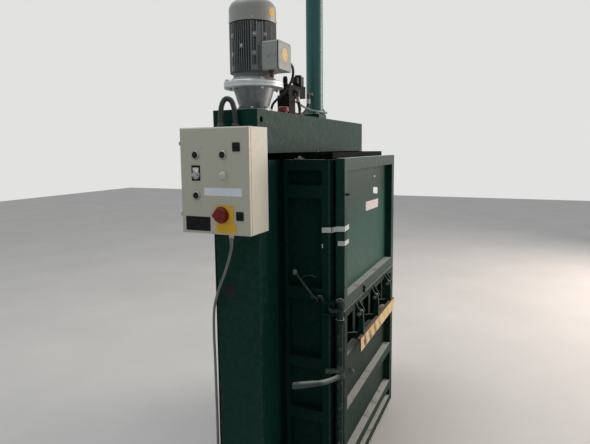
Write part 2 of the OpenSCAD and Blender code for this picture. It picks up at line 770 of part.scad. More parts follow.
// Motor: end shield and flange, core with four banks of parallel fins, and cast lugs
module motor_body() {
    core_r = motor_r - 16;
    fin_t = 3;
    fin_step = 9.4;
    lug = 9;
    pad_turn = 31;
    color([0.45, 0.48, 0.48]) translate([motor_x, 0, 0]) difference() {
        union() {
            translate([0, 0, motor_z]) rotate_extrude() polygon([
                [0, 0], [flange_r - 1, 0], [flange_r, 1], [flange_r, 10], [flange_r - 2, 12],
                [motor_r + 8, 13], [motor_r - 12, 30], [motor_r - 14, shield_h], [0, shield_h]]);
            translate([0, 0, fins_z]) cylinder(r = core_r, h = fins_h);
            translate([0, 0, fins_z]) linear_extrude(fins_h - 4) intersection() {
                circle(motor_r);
                union() for (a = [0:90:270]) rotate(a) for (i = [-5:5])
                    translate([core_r * 0.6, i * fin_step - fin_t / 2]) square([motor_r, fin_t]);
            }
            // Smooth corners between the banks, each with two rows of cast foot pads
            for (a = [45:90:315]) translate([0, 0, fins_z]) rotate([0, 0, a])
                block([core_r - 12, -24, 0], [core_r + 5, 24, fins_h - 4]);
            for (a = [0:90:270], s = [-1, 1], z = [0.02, 0.3, 0.67])
                translate([0, 0, fins_z + fins_h * z]) rotate([0, 0, a + s * pad_turn])
                    block([core_r - 6, -lug, 0], [motor_r - 2, lug, fins_h * 0.1]);
            for (a = [0:90:270])
                translate([0, 0, fins_z + fins_h * 0.45]) rotate([0, 0, a])
                    block([core_r - 6, -8, 0], [motor_r + 1, 8, 18]);
            // End shield that carries the cowl, set back behind a dark gap
            translate([0, 0, cowl_z - 5]) cylinder(r = motor_r - 7, h = 5);
            translate([0, 0, cowl_z]) cylinder(r = motor_r - 2 - seat, h = 12);
            block([tbox_off - 36, tbox_y, tbox_z + 20],
                  [tbox_off + 36, -core_r + 20, tbox_z + tbox_size.z - 10]);
        }
        // Flat behind the terminal box
        block([tbox_off - tbox_size.x / 2 - 3, -deep, tbox_z + 2],
              [tbox_off + tbox_size.x / 2 + 3, tbox_y, tbox_z + tbox_size.z + 3]);
        translate([0, 0, motor_z - 1]) cylinder(r = shaft_r + run_gap, h = deep);
    }
}

module fan_cowl() {
    wall = 2;
    inner = motor_r - wall;
    shoulder = 0.4 * motor_r;
    color([0.62, 0.64, 0.64]) translate([motor_x, 0, cowl_z]) difference() {
        rotate_extrude() difference() {
            union() {
                square([motor_r, cowl_h - shoulder]);
                square([motor_r - shoulder, cowl_h]);
                translate([motor_r - shoulder, cowl_h - shoulder]) circle(shoulder);
            }
            union() {
                translate([0, -1]) square([inner, cowl_h - shoulder + 1]);
                translate([0, -1]) square([motor_r - shoulder, cowl_h - wall + 1]);
                translate([motor_r - shoulder, cowl_h - shoulder]) circle(shoulder - wall);
            }
        }
        // Air grille on top
        for (r = [22:11:50], a = [0:60:300])
            rotate([0, 0, a]) rotate_extrude(angle = 44)
                translate([r, cowl_h - wall - 2]) square([5, wall + 4]);
    }
}

module motor_shaft() {
    color([0.6, 0.61, 0.62]) translate([motor_x, 0, 0]) {
        translate([0, 0, motor_z - 62]) cylinder(r = shaft_r, h = cowl_z + 60 - motor_z + 62);
        // Coupling that meets the pump's shaft
        translate([0, 0, bell_z + 12 + pump_shaft + 1]) cylinder(r = shaft_r + 14, h = 50);
    }
}

module cooling_fan() {
    fan_r = motor_r - 14;
    color([0.12, 0.12, 0.13]) translate([motor_x, 0, cowl_z + 24]) {
        difference() {
            union() {
                cylinder(r = 30, h = 26);
                cylinder(r = fan_r - 12, h = 3);
                for (a = [0:45:315]) rotate([0, 0, a])
                    block([26, -1.5, 0], [fan_r, 1.5, 26]);
            }
            translate([0, 0, -1]) cylinder(r = shaft_r - run_gap / 2, h = deep);
        }
    }
}

module gear_pump() {
    color([0.5, 0.52, 0.52]) translate([motor_x, 0, 0]) {
        translate([0, 0, beam_z + beam_t + 14]) cylinder(r = pump_r, h = bell_z - beam_z - beam_t - 14);
        translate([0, 0, bell_z]) cylinder(r = shaft_r + 22 - seat, h = 12);
        translate([0, 0, bell_z + 12]) cylinder(r = 9, h = pump_shaft);
    }
}

tbox_off = -29;
tbox_x = motor_x + tbox_off;
tbox_y = -motor_r + 9.5;
tbox_z = fins_z - 2;
tbox_size = [122, 68, 112];
module terminal_box() {
    color([0.45, 0.5, 0.49]) {
        translate([tbox_x, tbox_y - tbox_size.y, tbox_z]) rotate([-90, 0, 0])
            translate([0, -tbox_size.z / 2, 0]) linear_extrude(tbox_size.y)
                round_rect([tbox_size.x, tbox_size.z], 7);
        translate([tbox_x, tbox_y - tbox_size.y - 3, tbox_z + tbox_size.z / 2]) rotate([-90, 0, 0])
            linear_extrude(3) round_rect([tbox_size.x - 4, tbox_size.z - 4], 7);
    }
}

// Screwed plug below the terminal box, and the cable's gland on its right side
cable_exit = [tbox_x + tbox_size.x / 2, tbox_y - 49, tbox_z + 45];
module terminal_gland() {
    color([0.35, 0.2, 0.17]) {
        translate([tbox_x - 38, tbox_y - 30, tbox_z - 8]) {
            hexagon(24, 8);
            translate([0, 0, -18]) cylinder(r = 9.5, h = 18);
        }
        translate(cable_exit) rotate([0, 90, 0]) {
            ring(11, 6.3, 6);
            translate([0, 0, 6]) ring(9.5, 6.3, 14);
        }
    }
}

manifold = [[-330, -60], [-262, 0]];
manifold_z = beam_top + 90;
module manifold_block() {
    color([0.16, 0.2, 0.19]) difference() {
        block([manifold[0].x, manifold[0].y, beam_top], [manifold[1].x, manifold[1].y, manifold_z]);
        for (x = [manifold[0].x + 12, manifold[1].x - 12])
            translate([x, valve_y, manifold_z - 12]) cylinder(r = 3, h = 20);
        translate([manifold[0].x + 30, manifold[0].y - 1, beam_top + 60]) rotate([-90, 0, 0])
            cylinder(r = 6, h = 12);
    }
}

valve_y = -30;
valve_right = manifold[1].x + 140;
module directional_valve() {
    color([0.3, 0.32, 0.32]) {
        block([manifold[0].x + 8, valve_y - 24, manifold_z],
              [valve_right, valve_y + 24, manifold_z + 50]);
        block([valve_right - 66, valve_y - 27, manifold_z + 50],
              [valve_right - 4, valve_y + 27, manifold_z + 56]);
        translate([manifold[0].x + 24, valve_y, manifold_z + 50]) cylinder(r = 11, h = 28);
        translate([manifold[0].x + 24, valve_y, manifold_z + 78]) hexagon(16, 9);
    }
}

module solenoid_coil() {
    color([0.08, 0.08, 0.08]) translate([valve_right - 33, valve_y, manifold_z + 56]) {
        linear_extrude(46) round_rect([44, 46], 9);
        translate([0, 0, 46]) cylinder(r = 17, h = 8);
        translate([-46, -14, 12]) cube([25, 28, 28]);
    }
}

// Fittings: two elbows whose ends point down, and straight ones on the block and the beam
elbow_l = 31;
port_left = [-barrel_r - 12, ram_y, barrel_z + port_h];
valve_port = [manifold[1].x + 13, valve_y - 24, manifold_z + 24];
return_port = [manifold[1].x + 48, -62, beam_top];
block_port = [manifold[1].x, -20, beam_top + 20];
hose_end = 26;
module straight_fitting(flats) {
    hexagon(flats, 12);
    cylinder(r = 7, h = hose_end);
}
module elbow(reach) {
    cylinder(r = 8, h = reach);
    translate([0, 0, reach]) sphere(8);
}
module hose_fittings() {
    color([0.62, 0.62, 0.6]) {
        translate(port_left) rotate([0, -90, 0]) {
            hexagon(22, 12);
            elbow(elbow_l);
        }
        translate(port_left - [elbow_l, 0, hose_end]) cylinder(r = 8, h = hose_end);
        translate(valve_port) rotate([90, 0, 0]) elbow(15);
        translate(valve_port - [0, 15, hose_end]) cylinder(r = 8, h = hose_end);
        translate(block_port) rotate([0, 90, 0]) straight_fitting(22);
        translate(return_port) straight_fitting(22);
        translate([manifold[1].x, pipe_y, beam_top + 24 + pipe_r + pipe_fall]) rotate([0, 90, 0])
            cylinder(r = 8, h = 6);
        translate([barrel_r + 6, ram_y, barrel_z + barrel_h - 30]) rotate([0, 90, 0]) hexagon(20, 6);
    }
}

// Hose from the barrel's lower port, down and along the beam's top to the block
module pressure_hose() {
    hose_r = 8;
    low = beam_top + hose_r + 2;
    start = port_left - [elbow_l, 0, hose_end];
    color([0.08, 0.08, 0.08])
        tube(concat(lead(start, [0, 0, -1], 4),
                    [[start.x - 1, start.y + 2, start.z - 28], [start.x - 12, start.y + 6, low + 28],
                     [start.x - 34, start.y + 12, low + 8], [start.x - 68, start.y + 20, low + 1],
                     [(start.x + block_port.x) / 2 - 18, block_port.y - 6, low + 3]],
                    trail(block_port + [hose_end, 0, 0], [-1, 0, 0], 4)),
             hose_r, faces = 10, steps = 3);
}

module return_hose() {
    start = valve_port - [0, 15, hose_end];
    color([0.08, 0.08, 0.08])
        tube(concat(lead(start, [0, 0, -1], 4),
                    [[start.x + 3, start.y, start.z - 22], [start.x + 17, start.y + 2, start.z - 42],
                     [return_port.x - 5, return_port.y - 1, return_port.z + hose_end + 18]],
                    trail(return_port + [0, 0, hose_end], [0, 0, -1], 3)),
             8, faces = 10, steps = 3);
}

module filler_cap() {
    color([0.75, 0.1, 0.09]) translate([-372, -50, beam_top]) {
        cylinder(r = 17, h = 12);
        translate([0, 0, 12]) intersection() {
            cylinder(r = 24, h = 22);
            sphere(30);
        }
    }
}

// Motor cable: out of the box's right side, down past the flange and into the beam
module motor_cable() {
    color([0.06, 0.06, 0.06])
        tube(concat(lead(cable_exit + [8, 0, 0], [1, 0, 0], 9),
                    [for (p = [[48, 0, -3], [67, 1, -16], [76, 4, -38], [78, 12, -64],
                               [80, 30, -92], [88, 52, -112], [100, 78, -126], [113, 104, -140],
                               [121, 126, -158]]) cable_exit + p],
                    trail([cable_exit.x + 124, cable_exit.y + 136, beam_top], [0, 0, -1], 8)),
             6, faces = 8, steps = 3);
}

// Conduit that loops from the cabinet's top to the beam's end
cabinet_front = -column_out - cabinet_d;
cabinet_left = 158;
cabinet_right = cabinet_left - cabinet_w;
cabinet_top = beam_top - cabinet_drop;
cabinet_z = cabinet_top - cabinet_h;
module control_conduit() {
    x = -column_out - 38;
    color([0.07, 0.07, 0.07]) {
        tube([[x, 40, cabinet_top + 11], [x, 41, cabinet_top + 50], [x + 3, 36, cabinet_top + 90],
              [x + 8, 22, cabinet_top + 112], [x + 16, 2, cabinet_top + 106],
              [x + 18, -10, cabinet_top + 74], [x + 18, -14, cabinet_top + 40],
              [x + 18, -14, cabinet_top + 11]], 9, faces = 10, steps = 4);
        for (foot = [[x, 40, cabinet_top], [x + 18, -14, cabinet_top]]) translate(foot) {
            hexagon(30, 7);
            cylinder(r = 12, h = 12);
        }
    }
}

// Control cabinet: folded box on the left column, with a door that carries the controls
door_depth = 18;
door_x = cabinet_front + door_depth;
cabinet_hinge_r = 4;
module cabinet_body() {
    color([0.78, 0.76, 0.7]) {
        difference() {
            block([door_x + 2, cabinet_right, cabinet_z], [-column_out, cabinet_left, cabinet_top]);
            block([door_x, cabinet_right + cabinet_t, cabinet_z + cabinet_t],
                  [-column_out - cabinet_t, cabinet_left - cabinet_t, cabinet_top - cabinet_t]);
        }
        block([-column_out - cabinet_t - 14, cabinet_right + 30, cabinet_z + 40],
              [-column_out - cabinet_t + eps, cabinet_left - 30, cabinet_top - 40]);
        for (z = cabinet_hinges) hinge_barrel(z);
    }
}

cabinet_hinges = [cabinet_z + 50, cabinet_top - 80];
cabinet_hinge_y = cabinet_left + 4.5;
cabinet_hinge_x = door_x + 1;

module hinge_barrel(z) {
    difference() {
        union() {
            translate([cabinet_hinge_x, cabinet_hinge_y, z]) cylinder(r = cabinet_hinge_r, h = 14);
            block([cabinet_hinge_x, cabinet_left - eps, z],
                  [cabinet_hinge_x + 16, cabinet_hinge_y, z + 14]);
        }
        translate([cabinet_hinge_x, cabinet_hinge_y, z - 1]) cylinder(r = 2 + run_gap, h = 16);
    }
}

// Places of the controls on the cabinet's front: height, and distance along the front
control_y = [cabinet_left - 72, cabinet_right + 108];
control_z = [cabinet_top - 102, cabinet_top - 177, cabinet_top - 255];
switch_y = cabinet_right + 118;
switch_z = cabinet_z + 75;

module cabinet_door() {
    edge = 5;
    color([0.82, 0.8, 0.74]) {
        difference() {
            // Front panel with bevelled edges
            hull() {
                block([cabinet_front + edge, cabinet_right, cabinet_z],
                      [door_x, cabinet_left, cabinet_top]);
                block([cabinet_front, cabinet_right + edge, cabinet_z + edge],
                      [door_x, cabinet_left - edge, cabinet_top - edge]);
            }
            block([cabinet_front + cabinet_t, cabinet_right + edge, cabinet_z + edge],
                  [door_x + 1, cabinet_left - edge, cabinet_top - edge]);
            for (place = button_places) control_hole(place, button_r + run_gap * 2);
            control_hole([control_y[0], control_z[1]], button_r + run_gap * 2);
            control_hole([control_y[1], control_z[1]], 11.5);
            control_hole([switch_y, switch_z], 6.1);
        }
        for (z = cabinet_hinges) translate([0, 0, 14.3]) door_barrel(z);
        for (z = cabinet_hinges)
            translate([cabinet_hinge_x, cabinet_hinge_y, z - 1]) cylinder(r = 2, h = 30.3);
    }
}

module door_barrel(z) {
    translate([cabinet_hinge_x, cabinet_hinge_y, z]) cylinder(r = cabinet_hinge_r, h = 14);
    block([cabinet_hinge_x - 16, cabinet_left - eps, z], [cabinet_hinge_x, cabinet_hinge_y, z + 14]);
}

module control_hole(place, r) {
    translate([cabinet_front - 1, place.x, place.y]) rotate([0, 90, 0]) cylinder(r = r, h = 8);
}

button_places = [[control_y[0], control_z[0]], [control_y[1], control_z[0]],
                 [control_y[0], control_z[2]]];
module at_control(place) {
    translate([cabinet_front, place.x, place.y]) rotate([0, -90, 0]) children();
}

// Contact blocks behind the controls
module contact_blocks() {
    travel_room = 16;
    color([0.2, 0.2, 0.21]) {
        for (place = concat(button_places, [[control_y[0], control_z[1]], [control_y[1], control_z[1]]]))
            at_control(place) translate([0, 0, -travel_room - 40]) linear_extrude(40) difference() {
                square([42, 30], center = true);
                circle(5);
            }
        at_control([switch_y, switch_z]) translate([0, 0, -travel_room - 50]) linear_extrude(50)
            difference() { square([56, 56], center = true); circle(7); }
        for (place = concat(button_places, [[control_y[0], control_z[1]], [control_y[1], control_z[1]],
                                            [switch_y, switch_z]]))
            for (s = [-1, 1]) at_control(place) translate([s * 17.5 - 2, -4, -travel_room - 1])
                cube([4, 8, travel_room + 1 - cabinet_t]);
    }
}

bezel_r = 17;
module button_bezels() {
    color([0.8, 0.8, 0.8]) for (place = concat(button_places, [[control_y[0], control_z[1]]]))
        at_control(place) rotate_extrude() polygon([
            [button_r + 0.3, 0], [bezel_r, 0], [bezel_r, 2.5], [bezel_r - 2, 5], [button_r + 0.3, 5]]);
}

module push_button() {
    translate([0, 0, -10]) cylinder(r = button_r, h = 13.5);
    translate([0, 0, 3.5]) cylinder(r1 = button_r, r2 = button_r - 1.5, h = 1.5);
    translate([0, 0, -22]) cylinder(r = 4, h = 13);
}
module start_button() { color([0.06, 0.06, 0.06]) at_control(button_places[0]) push_button(); }
module stop_button() { color([0.06, 0.06, 0.06]) at_control(button_places[1]) push_button(); }
module reset_button() { color([0.06, 0.06, 0.06]) at_control(button_places[2]) push_button(); }

module selector_switch() {
    color([0.75, 0.75, 0.75]) at_control([control_y[0], control_z[1]]) {
        translate([0, 0, -10]) cylinder(r = button_r, h = 14);
        translate([-3.5, -10.5, 4]) cube([7, 21, 9]);
        translate([0, 0, -22]) cylinder(r = 4, h = 13);
    }
}

module pilot_lamp() {
    color([0.9, 0.9, 0.86]) at_control([control_y[1], control_z[1]]) {
        cylinder(r = 17, h = 3);
        translate([0, 0, 3]) intersection() {
            cylinder(r = 15, h = 14);
            translate([0, 0, -8]) sphere(19);
        }
        translate([0, 0, -15.5]) cylinder(r = 11, h = 16);
    }
}

module switch_plate() {
    color([0.9, 0.72, 0.1]) {
        at_control([switch_y - 14, switch_z + 3]) linear_extrude(2) difference() {
            round_rect([66, 76], 4);
            translate([-3, 14]) circle(7.5);
        }
        at_control([switch_y - 18, switch_z - 50]) linear_extrude(1.2) round_rect([36, 86], 2);
    }
}

module main_switch() {
    color([0.72, 0.12, 0.08]) at_control([switch_y, switch_z]) {
        translate([0, 0, 2 + run_gap]) cylinder(r = 31, h = 7.4 - 2 - run_gap);
        translate([0, 0, 7.4]) cylinder(r1 = 28, r2 = 26, h = 12);
        translate([-7, -27, 7.4]) cube([14, 54, 18]);
        translate([0, 0, -24]) cylinder(r = 6, h = 27);
    }
}

module cable_gland() {
    color([0.5, 0.51, 0.5]) translate([gland_x, gland_y, cabinet_z]) {
        translate([0, 0, -7]) hexagon(26, 7);
        translate([0, 0, -12]) cylinder(r = 11, h = 5);
        translate([0, 0, -24]) ring(10, cable_r + seat, 12);
    }
}

// Supply cable: hangs from the gland, passes behind the column and lies coiled on the floor
gland_x = -column_out - cabinet_d / 2 + 2.5;
gland_y = -16;
cable_r = 5.5;
cable_route = [
    [gland_x, gland_y, cabinet_z - 12], [gland_x, gland_y, cabinet_z - 24],
    [gland_x, gland_y, cabinet_z - 36], [-789, -13, 1205], [-781, 8, 1145], [-768, 36, 1090],
    [-756, 64, 1040], [-746, 88, 990], [-738, 106, 940], [-730, 117, 880],
    [-724, 122, 800], [-718, 124, 700], [-714, 126, 600], [-710, 128, 500], [-706, 130, 400],
    [-702, 133, 300], [-698, 138, 200], [-692, 144, 120], [-684, 154, 60], [-670, 168, 24],
    [-644, 186, 9], [-612, 206, 5.5], [-580, 214, 5.5]];
coil_at = [-580, 279, 0];
coil_mid_r = 65;
coil_half_w = 17;
plug_r = 29;
plug_at = coil_at + [-100, coil_mid_r + 12, plug_r];
module supply_cable() {
    color([0.5, 0.51, 0.52]) {
        tube(cable_route, cable_r, faces = 8, steps = 2);
        translate(coil_at) rotate_extrude()
            translate([coil_mid_r - coil_half_w, 0]) square([2 * coil_half_w, 4 * cable_r]);
        tube(concat([coil_at + [0, coil_mid_r, 15], coil_at + [-30, coil_mid_r + 1, 17],
                     coil_at + [-62, coil_mid_r + 7, 24]], trail(plug_at, [-1, 0, 0], 6)),
             cable_r, faces = 8, steps = 2);
    }
}
module supply_plug() {
    color([0.7, 0.13, 0.1]) translate(plug_at) rotate([0, -90, 0]) {
        cylinder(r1 = 14, r2 = 24, h = 55);
        translate([0, 0, 55]) cylinder(r = plug_r, h = 60);
    }
}

// Plates and blank labels
low_plate = [54, 110];
wide_label = [30, 162];
selector_plate = [58, 38];
module label_plates() {
    color([0.07, 0.07, 0.07]) {
        at_control([cabinet_left - 75.5, cabinet_z + 38]) linear_extrude(1)
            square(low_plate, center = true);
        at_control([control_y[0], control_z[1] + 9]) linear_extrude(1.5) difference() {
            translate([-2, 0]) square(selector_plate, center = true);
            translate([-9, 0]) circle(bezel_r + 0.1);
        }
    }
    color([0.9, 0.9, 0.88]) at_control([cabinet_right + 112, cabinet_z + 161])
        linear_extrude(0.6) square(wide_label, center = true);
}

base_frame();
left_column();
right_column();
column_webs();
top_beam();
left_wall();
right_wall();
rear_wall();
chamber_deck();
hinge_pins();
latch_keepers();
upper_door();
lower_door();
retainer_bar();
retainer_pins();
retainer_springs();
latch_shaft();
latch_lever();
lever_grip();
catch_arm();
catch_knob();
catch_pin();
platen();
piston_rod();
cylinder_gland();
cylinder_barrel();
rod_side_pipe();
bell_housing();
motor_body();
fan_cowl();
motor_shaft();
cooling_fan();
gear_pump();
terminal_box();
terminal_gland();
manifold_block();
directional_valve();
solenoid_coil();
hose_fittings();
pressure_hose();
return_hose();
filler_cap();
motor_cable();
control_conduit();
cabinet_body();
cabinet_door();
contact_blocks();
button_bezels();
start_button();
stop_button();
reset_button();
selector_switch();
switch_plate();
main_switch();
pilot_lamp();
cable_gland();
supply_cable();
supply_plug();
label_plates();
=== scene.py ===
"""Looks of the recycling baler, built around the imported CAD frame.

Lengths are in millimetres; those of the materials, camera, lamps and floor are in metres.
"""
import json
import random
from math import cos, pi, radians, sin, sqrt

import bmesh
import bpy
from mathutils import Matrix, Vector


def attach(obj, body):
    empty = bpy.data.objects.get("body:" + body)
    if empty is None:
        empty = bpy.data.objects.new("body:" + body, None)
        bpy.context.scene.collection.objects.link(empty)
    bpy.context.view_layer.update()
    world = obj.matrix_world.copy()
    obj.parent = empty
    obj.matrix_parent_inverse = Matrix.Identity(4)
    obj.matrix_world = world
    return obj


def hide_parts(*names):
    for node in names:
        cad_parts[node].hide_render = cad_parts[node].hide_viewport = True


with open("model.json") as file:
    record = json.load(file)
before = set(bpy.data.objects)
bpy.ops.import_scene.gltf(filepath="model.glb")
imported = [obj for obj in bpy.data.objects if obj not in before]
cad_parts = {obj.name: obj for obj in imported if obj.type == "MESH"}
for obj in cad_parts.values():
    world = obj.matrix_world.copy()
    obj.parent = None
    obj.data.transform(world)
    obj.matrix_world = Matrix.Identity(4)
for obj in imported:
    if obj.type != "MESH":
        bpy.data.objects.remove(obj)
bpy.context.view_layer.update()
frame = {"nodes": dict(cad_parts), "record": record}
NODES = frame["nodes"]
MM = 0.001
UP, DOWN, LEFT, RIGHT, FRONT = (0, 0, 1), (0, 0, -1), (-1, 0, 0), (1, 0, 0), (0, -1, 0)
SCENE = bpy.context.scene
rng = random.Random(7)


def add(name, data):
    obj = bpy.data.objects.new(name, data)
    SCENE.collection.objects.link(obj)
    return obj


# -------- camera, fitted to the photograph
CAMERA_AT = (-2.4158, -1.009, 1.590)
HEADING, PITCH, ROLL = (radians(degrees) for degrees in (24.0, 6.486, -0.579))
FOCAL_PX, PHOTO_W, SENSOR = 491.7, 590, 36
SHIFT_X, SHIFT_Y = 0.0011, -0.0296


def make_camera():
    flat = Vector((cos(HEADING), sin(HEADING), 0))
    forward = flat * cos(PITCH) - Vector((0, 0, sin(PITCH)))
    right = Vector((sin(HEADING), -cos(HEADING), 0))
    up = right.cross(forward)
    turned_right = right * cos(ROLL) + up * sin(ROLL)
    turned_up = up * cos(ROLL) - right * sin(ROLL)
    data = bpy.data.cameras.new("camera")
    data.sensor_fit = "HORIZONTAL"
    data.sensor_width = SENSOR
    data.lens = FOCAL_PX / PHOTO_W * SENSOR
    data.shift_x, data.shift_y = SHIFT_X, SHIFT_Y
    data.clip_end = 60
    cam = add("camera", data)
    turn = Matrix((turned_right, turned_up, -forward)).transposed()
    cam.matrix_world = Matrix.Translation(CAMERA_AT) @ turn.to_4x4()
    SCENE.camera = cam


make_camera()


# -------- material graphs
def srgb(r, g, b):
    """Linear colour of an 8-bit one."""
    def line(c):
        c /= 255
        return c / 12.92 if c <= 0.04045 else ((c + 0.055) / 1.055) ** 2.4
    return (line(r), line(g), line(b), 1)


EDGE_WIDTH, EDGE_TURN = 0.004, 0.12


class Graph:
    """A material's nodes, with short names for the ones used here."""

    def __init__(self, name, rough=0.5, metallic=0.0, ior=1.45):
        self.mat = bpy.data.materials.new(name)
        self.mat.use_nodes = True
        self.tree = self.mat.node_tree
        self.tree.nodes.clear()
        self.bsdf = self.node("ShaderNodeBsdfPrincipled", Roughness=rough, Metallic=metallic, IOR=ior)
        self.link(self.bsdf.outputs[0], self.node("ShaderNodeOutputMaterial").inputs[0])
        self.place = self.node("ShaderNodeTexCoord").outputs["Object"]
        self.normal = self.node("ShaderNodeNewGeometry").outputs["Normal"]
        self.split = {}

    def node(self, kind, **inputs):
        n = self.tree.nodes.new(kind)
        for name, value in inputs.items():
            self.put(n.inputs[name], value)
        return n

    def link(self, a, b):
        self.tree.links.new(a, b)

    def put(self, socket, value):
        """Feeds an input with another node's output, an 8-bit colour or a number."""
        if hasattr(value, "is_linked"):
            self.link(value, socket)
        else:
            socket.default_value = srgb(*value) if isinstance(value, tuple) else value

    def noise(self, scale, detail=3, rough=0.55, stretch=None):
        n = self.node("ShaderNodeTexNoise", Scale=scale, Detail=detail, Roughness=rough)
        where = self.place
        if stretch:
            mapping = self.node("ShaderNodeMapping", Vector=self.place)
            mapping.inputs["Scale"].default_value = stretch
            where = mapping.outputs[0]
        self.link(where, n.inputs["Vector"])
        return n.outputs["Fac"]

    def between(self, value, low, high, start=0.0, end=1.0):
        n = self.node("ShaderNodeMapRange")
        n.clamp = True
        for socket, v in zip(n.inputs, (value, low, high, start, end)):
            self.put(socket, v)
        return n.outputs[0]

    def band(self, value, low, full, end, fade):
        """1 from full to fade, 0 below low and over end."""
        return self.times(self.between(value, low, full), self.between(value, end, fade))

    def math(self, kind, a, b):
        n = self.node("ShaderNodeMath")
        n.operation = kind
        self.put(n.inputs[0], a)
        self.put(n.inputs[1], b)
        return n.outputs[0]

    def times(self, a, b):
        return self.math("MULTIPLY", a, b)

    def mix(self, share, a, b):
        n = self.node("ShaderNodeMix")
        n.data_type = "RGBA"
        self.put(n.inputs[0], share)
        self.put(n.inputs[6], a)
        self.put(n.inputs[7], b)
        return n.outputs[2]

    def over(self, colour, second, mask, share):
        """The colour with a second one over it where the mask is, up to the share."""
        return self.mix(self.times(mask, share), colour, second)

    def axis(self, socket, name):
        if socket not in self.split:
            self.split[socket] = self.node("ShaderNodeSeparateXYZ", Vector=socket)
        return self.split[socket].outputs[name]

    def upward(self, low=0.5, high=0.95):
        return self.between(self.axis(self.normal, "Z"), low, high)

    def bevelled(self, radius):
        bevel = self.node("ShaderNodeBevel", Radius=radius)
        bevel.samples = 4
        return bevel.outputs[0]

    def edges(self):
        """1 on convex and concave edges, from the bevelled normal."""
        dot = self.node("ShaderNodeVectorMath")
        dot.operation = "DOT_PRODUCT"
        self.link(self.bevelled(EDGE_WIDTH), dot.inputs[0])
        self.link(self.normal, dot.inputs[1])
        return self.between(self.math("SUBTRACT", 1.0, dot.outputs["Value"]), 0.0, EDGE_TURN)

    def relief(self, height, strength, depth, round_edges=0.0):
        bump = self.node("ShaderNodeBump", Strength=strength, Distance=depth, Height=height)
        if round_edges:
            self.link(self.bevelled(round_edges), bump.inputs["Normal"])
        self.link(bump.outputs[0], self.bsdf.inputs["Normal"])

    def finish(self, colour, rough=None):
        self.put(self.bsdf.inputs["Base Color"], colour)
        if rough is not None:
            self.put(self.bsdf.inputs["Roughness"], rough)
        return self.mat


DUST, LEDGE_DUST, MOTOR_DUST, IRON_DUST = (146, 147, 138), (208, 209, 201), (156, 151, 141), (96, 94, 86)
# Painted shade of the gap in front of the post's edge, and a painted highlight along that edge
GAP_SHADE, EDGE_HIGHLIGHT = (3, 24, 19), (54, 74, 72)


def machine_paint(name, base, deep, faded, dust, haze, ledge, wear, rough, ior=1.45, bump=0.12,
                  low=None, highlight_y=None):
    """Old machine paint: uneven colour, a film of dust, dusty ledges, runs and worn edges.

    The colour low, if there is one, comes in below 1.4 m. At the y given, in metres, the paint
    has a painted highlight line, and in front of it painted shade, as of the gap by the post.
    """
    g = Graph(name, rough, 0.0, ior)
    broad = g.noise(2.3, 4)
    fine = g.noise(55, 3)
    runs = g.noise(9, 4, 0.6, stretch=(1, 1, 0.12))
    colour = g.mix(g.between(broad, 0.3, 0.7), deep, base)
    if low:
        colour = g.mix(g.between(g.axis(g.place, "Z"), 1.4, 1.2), colour, low)
    # Painted shade in front of the edge line, and a painted highlight along it
    if highlight_y:
        y = g.axis(g.place, "Y")
        colour = g.mix(g.between(y, highlight_y - 0.003, highlight_y - 0.006), colour, GAP_SHADE)
        line = g.band(y, highlight_y - 0.005, highlight_y - 0.001, highlight_y + 0.004, highlight_y)
        colour = g.over(colour, EDGE_HIGHLIGHT, line, g.between(fine, 0.2, 0.6, 0.6, 1.0))
    colour = g.over(colour, faded, g.between(runs, 0.5, 0.8), haze)
    colour = g.over(colour, dust, g.between(fine, 0.42, 0.75), haze * 0.16)
    top = g.times(g.upward(), g.between(g.noise(14, 4, 0.65), 0.2, 0.45))
    colour = g.over(colour, LEDGE_DUST, top, ledge)
    rim = g.times(g.edges(), g.between(g.noise(38, 4, 0.7), 0.48, 0.66))
    colour = g.over(colour, dust, rim, wear)
    scratch = g.between(g.noise(26, 2, 0.5, stretch=(0.15, 0.15, 3.2)), 0.68, 0.74)
    colour = g.over(colour, faded, scratch, 0.35)
    dull = g.math("ADD", g.between(fine, 0.3, 0.7, rough - 0.06, rough + 0.1), g.times(top, 0.3))
    g.relief(g.math("ADD", g.noise(420, 2), g.times(broad, 2.0)), bump, 0.0006, 0.0015)
    return g.finish(colour, dull)


def bare_metal(name, base, dark, rough, metallic=1.0, grime=0.5, grain=1):
    """Handled or machined metal with grain, darker grime and duller spots."""
    g = Graph(name, rough, metallic)
    streak = g.noise(90, 3, 0.6, stretch=(1, 1, grain))
    spots = g.noise(30, 4, 0.65)
    colour = g.over(base, dark, g.between(spots, 0.45, 0.75), grime)
    colour = g.over(colour, dark, g.between(streak, 0.3, 0.8), 0.3)
    g.relief(streak, 0.15, 0.0003, 0.0008)
    return g.finish(colour, g.between(spots, 0.3, 0.75, rough, rough + 0.25))


def moulded(name, base, second, rough, grain, dust, haze=0.2, ior=1.38):
    """Moulded plastic or rubber: slight mottling, fine grain, dust where it faces up."""
    g = Graph(name, rough, 0.0, ior)
    colour = g.mix(g.between(g.noise(18, 3), 0.35, 0.7), base, second)
    top = g.times(g.upward(0.3, 0.95), g.between(g.noise(40, 4), 0.3, 0.65))
    colour = g.over(colour, dust, top, haze * 2.2)
    colour = g.over(colour, dust, g.between(g.noise(70, 3), 0.5, 0.8), haze)
    g.relief(g.noise(grain, 2), 0.15, 0.0003, 0.0006)
    return g.finish(colour, g.between(g.noise(50, 2), 0.3, 0.7, rough - 0.05, rough + 0.12))


def film(name, base, second, dirt, rough=0.4, amount=0.4):
    """Thin printed or adhesive film: faint mottling, dirt and small wrinkles."""
    g = Graph(name, rough, 0.0, 1.3)
    colour = g.mix(g.between(g.noise(22, 3), 0.35, 0.7), base, second)
    colour = g.over(colour, dirt, g.between(g.noise(60, 4, 0.7), 0.5, 0.72), amount)
    g.relief(g.noise(70, 3), 0.35, 0.0006)
    return g.finish(colour, g.between(g.noise(90, 2), 0.3, 0.7, rough - 0.1, rough + 0.15))


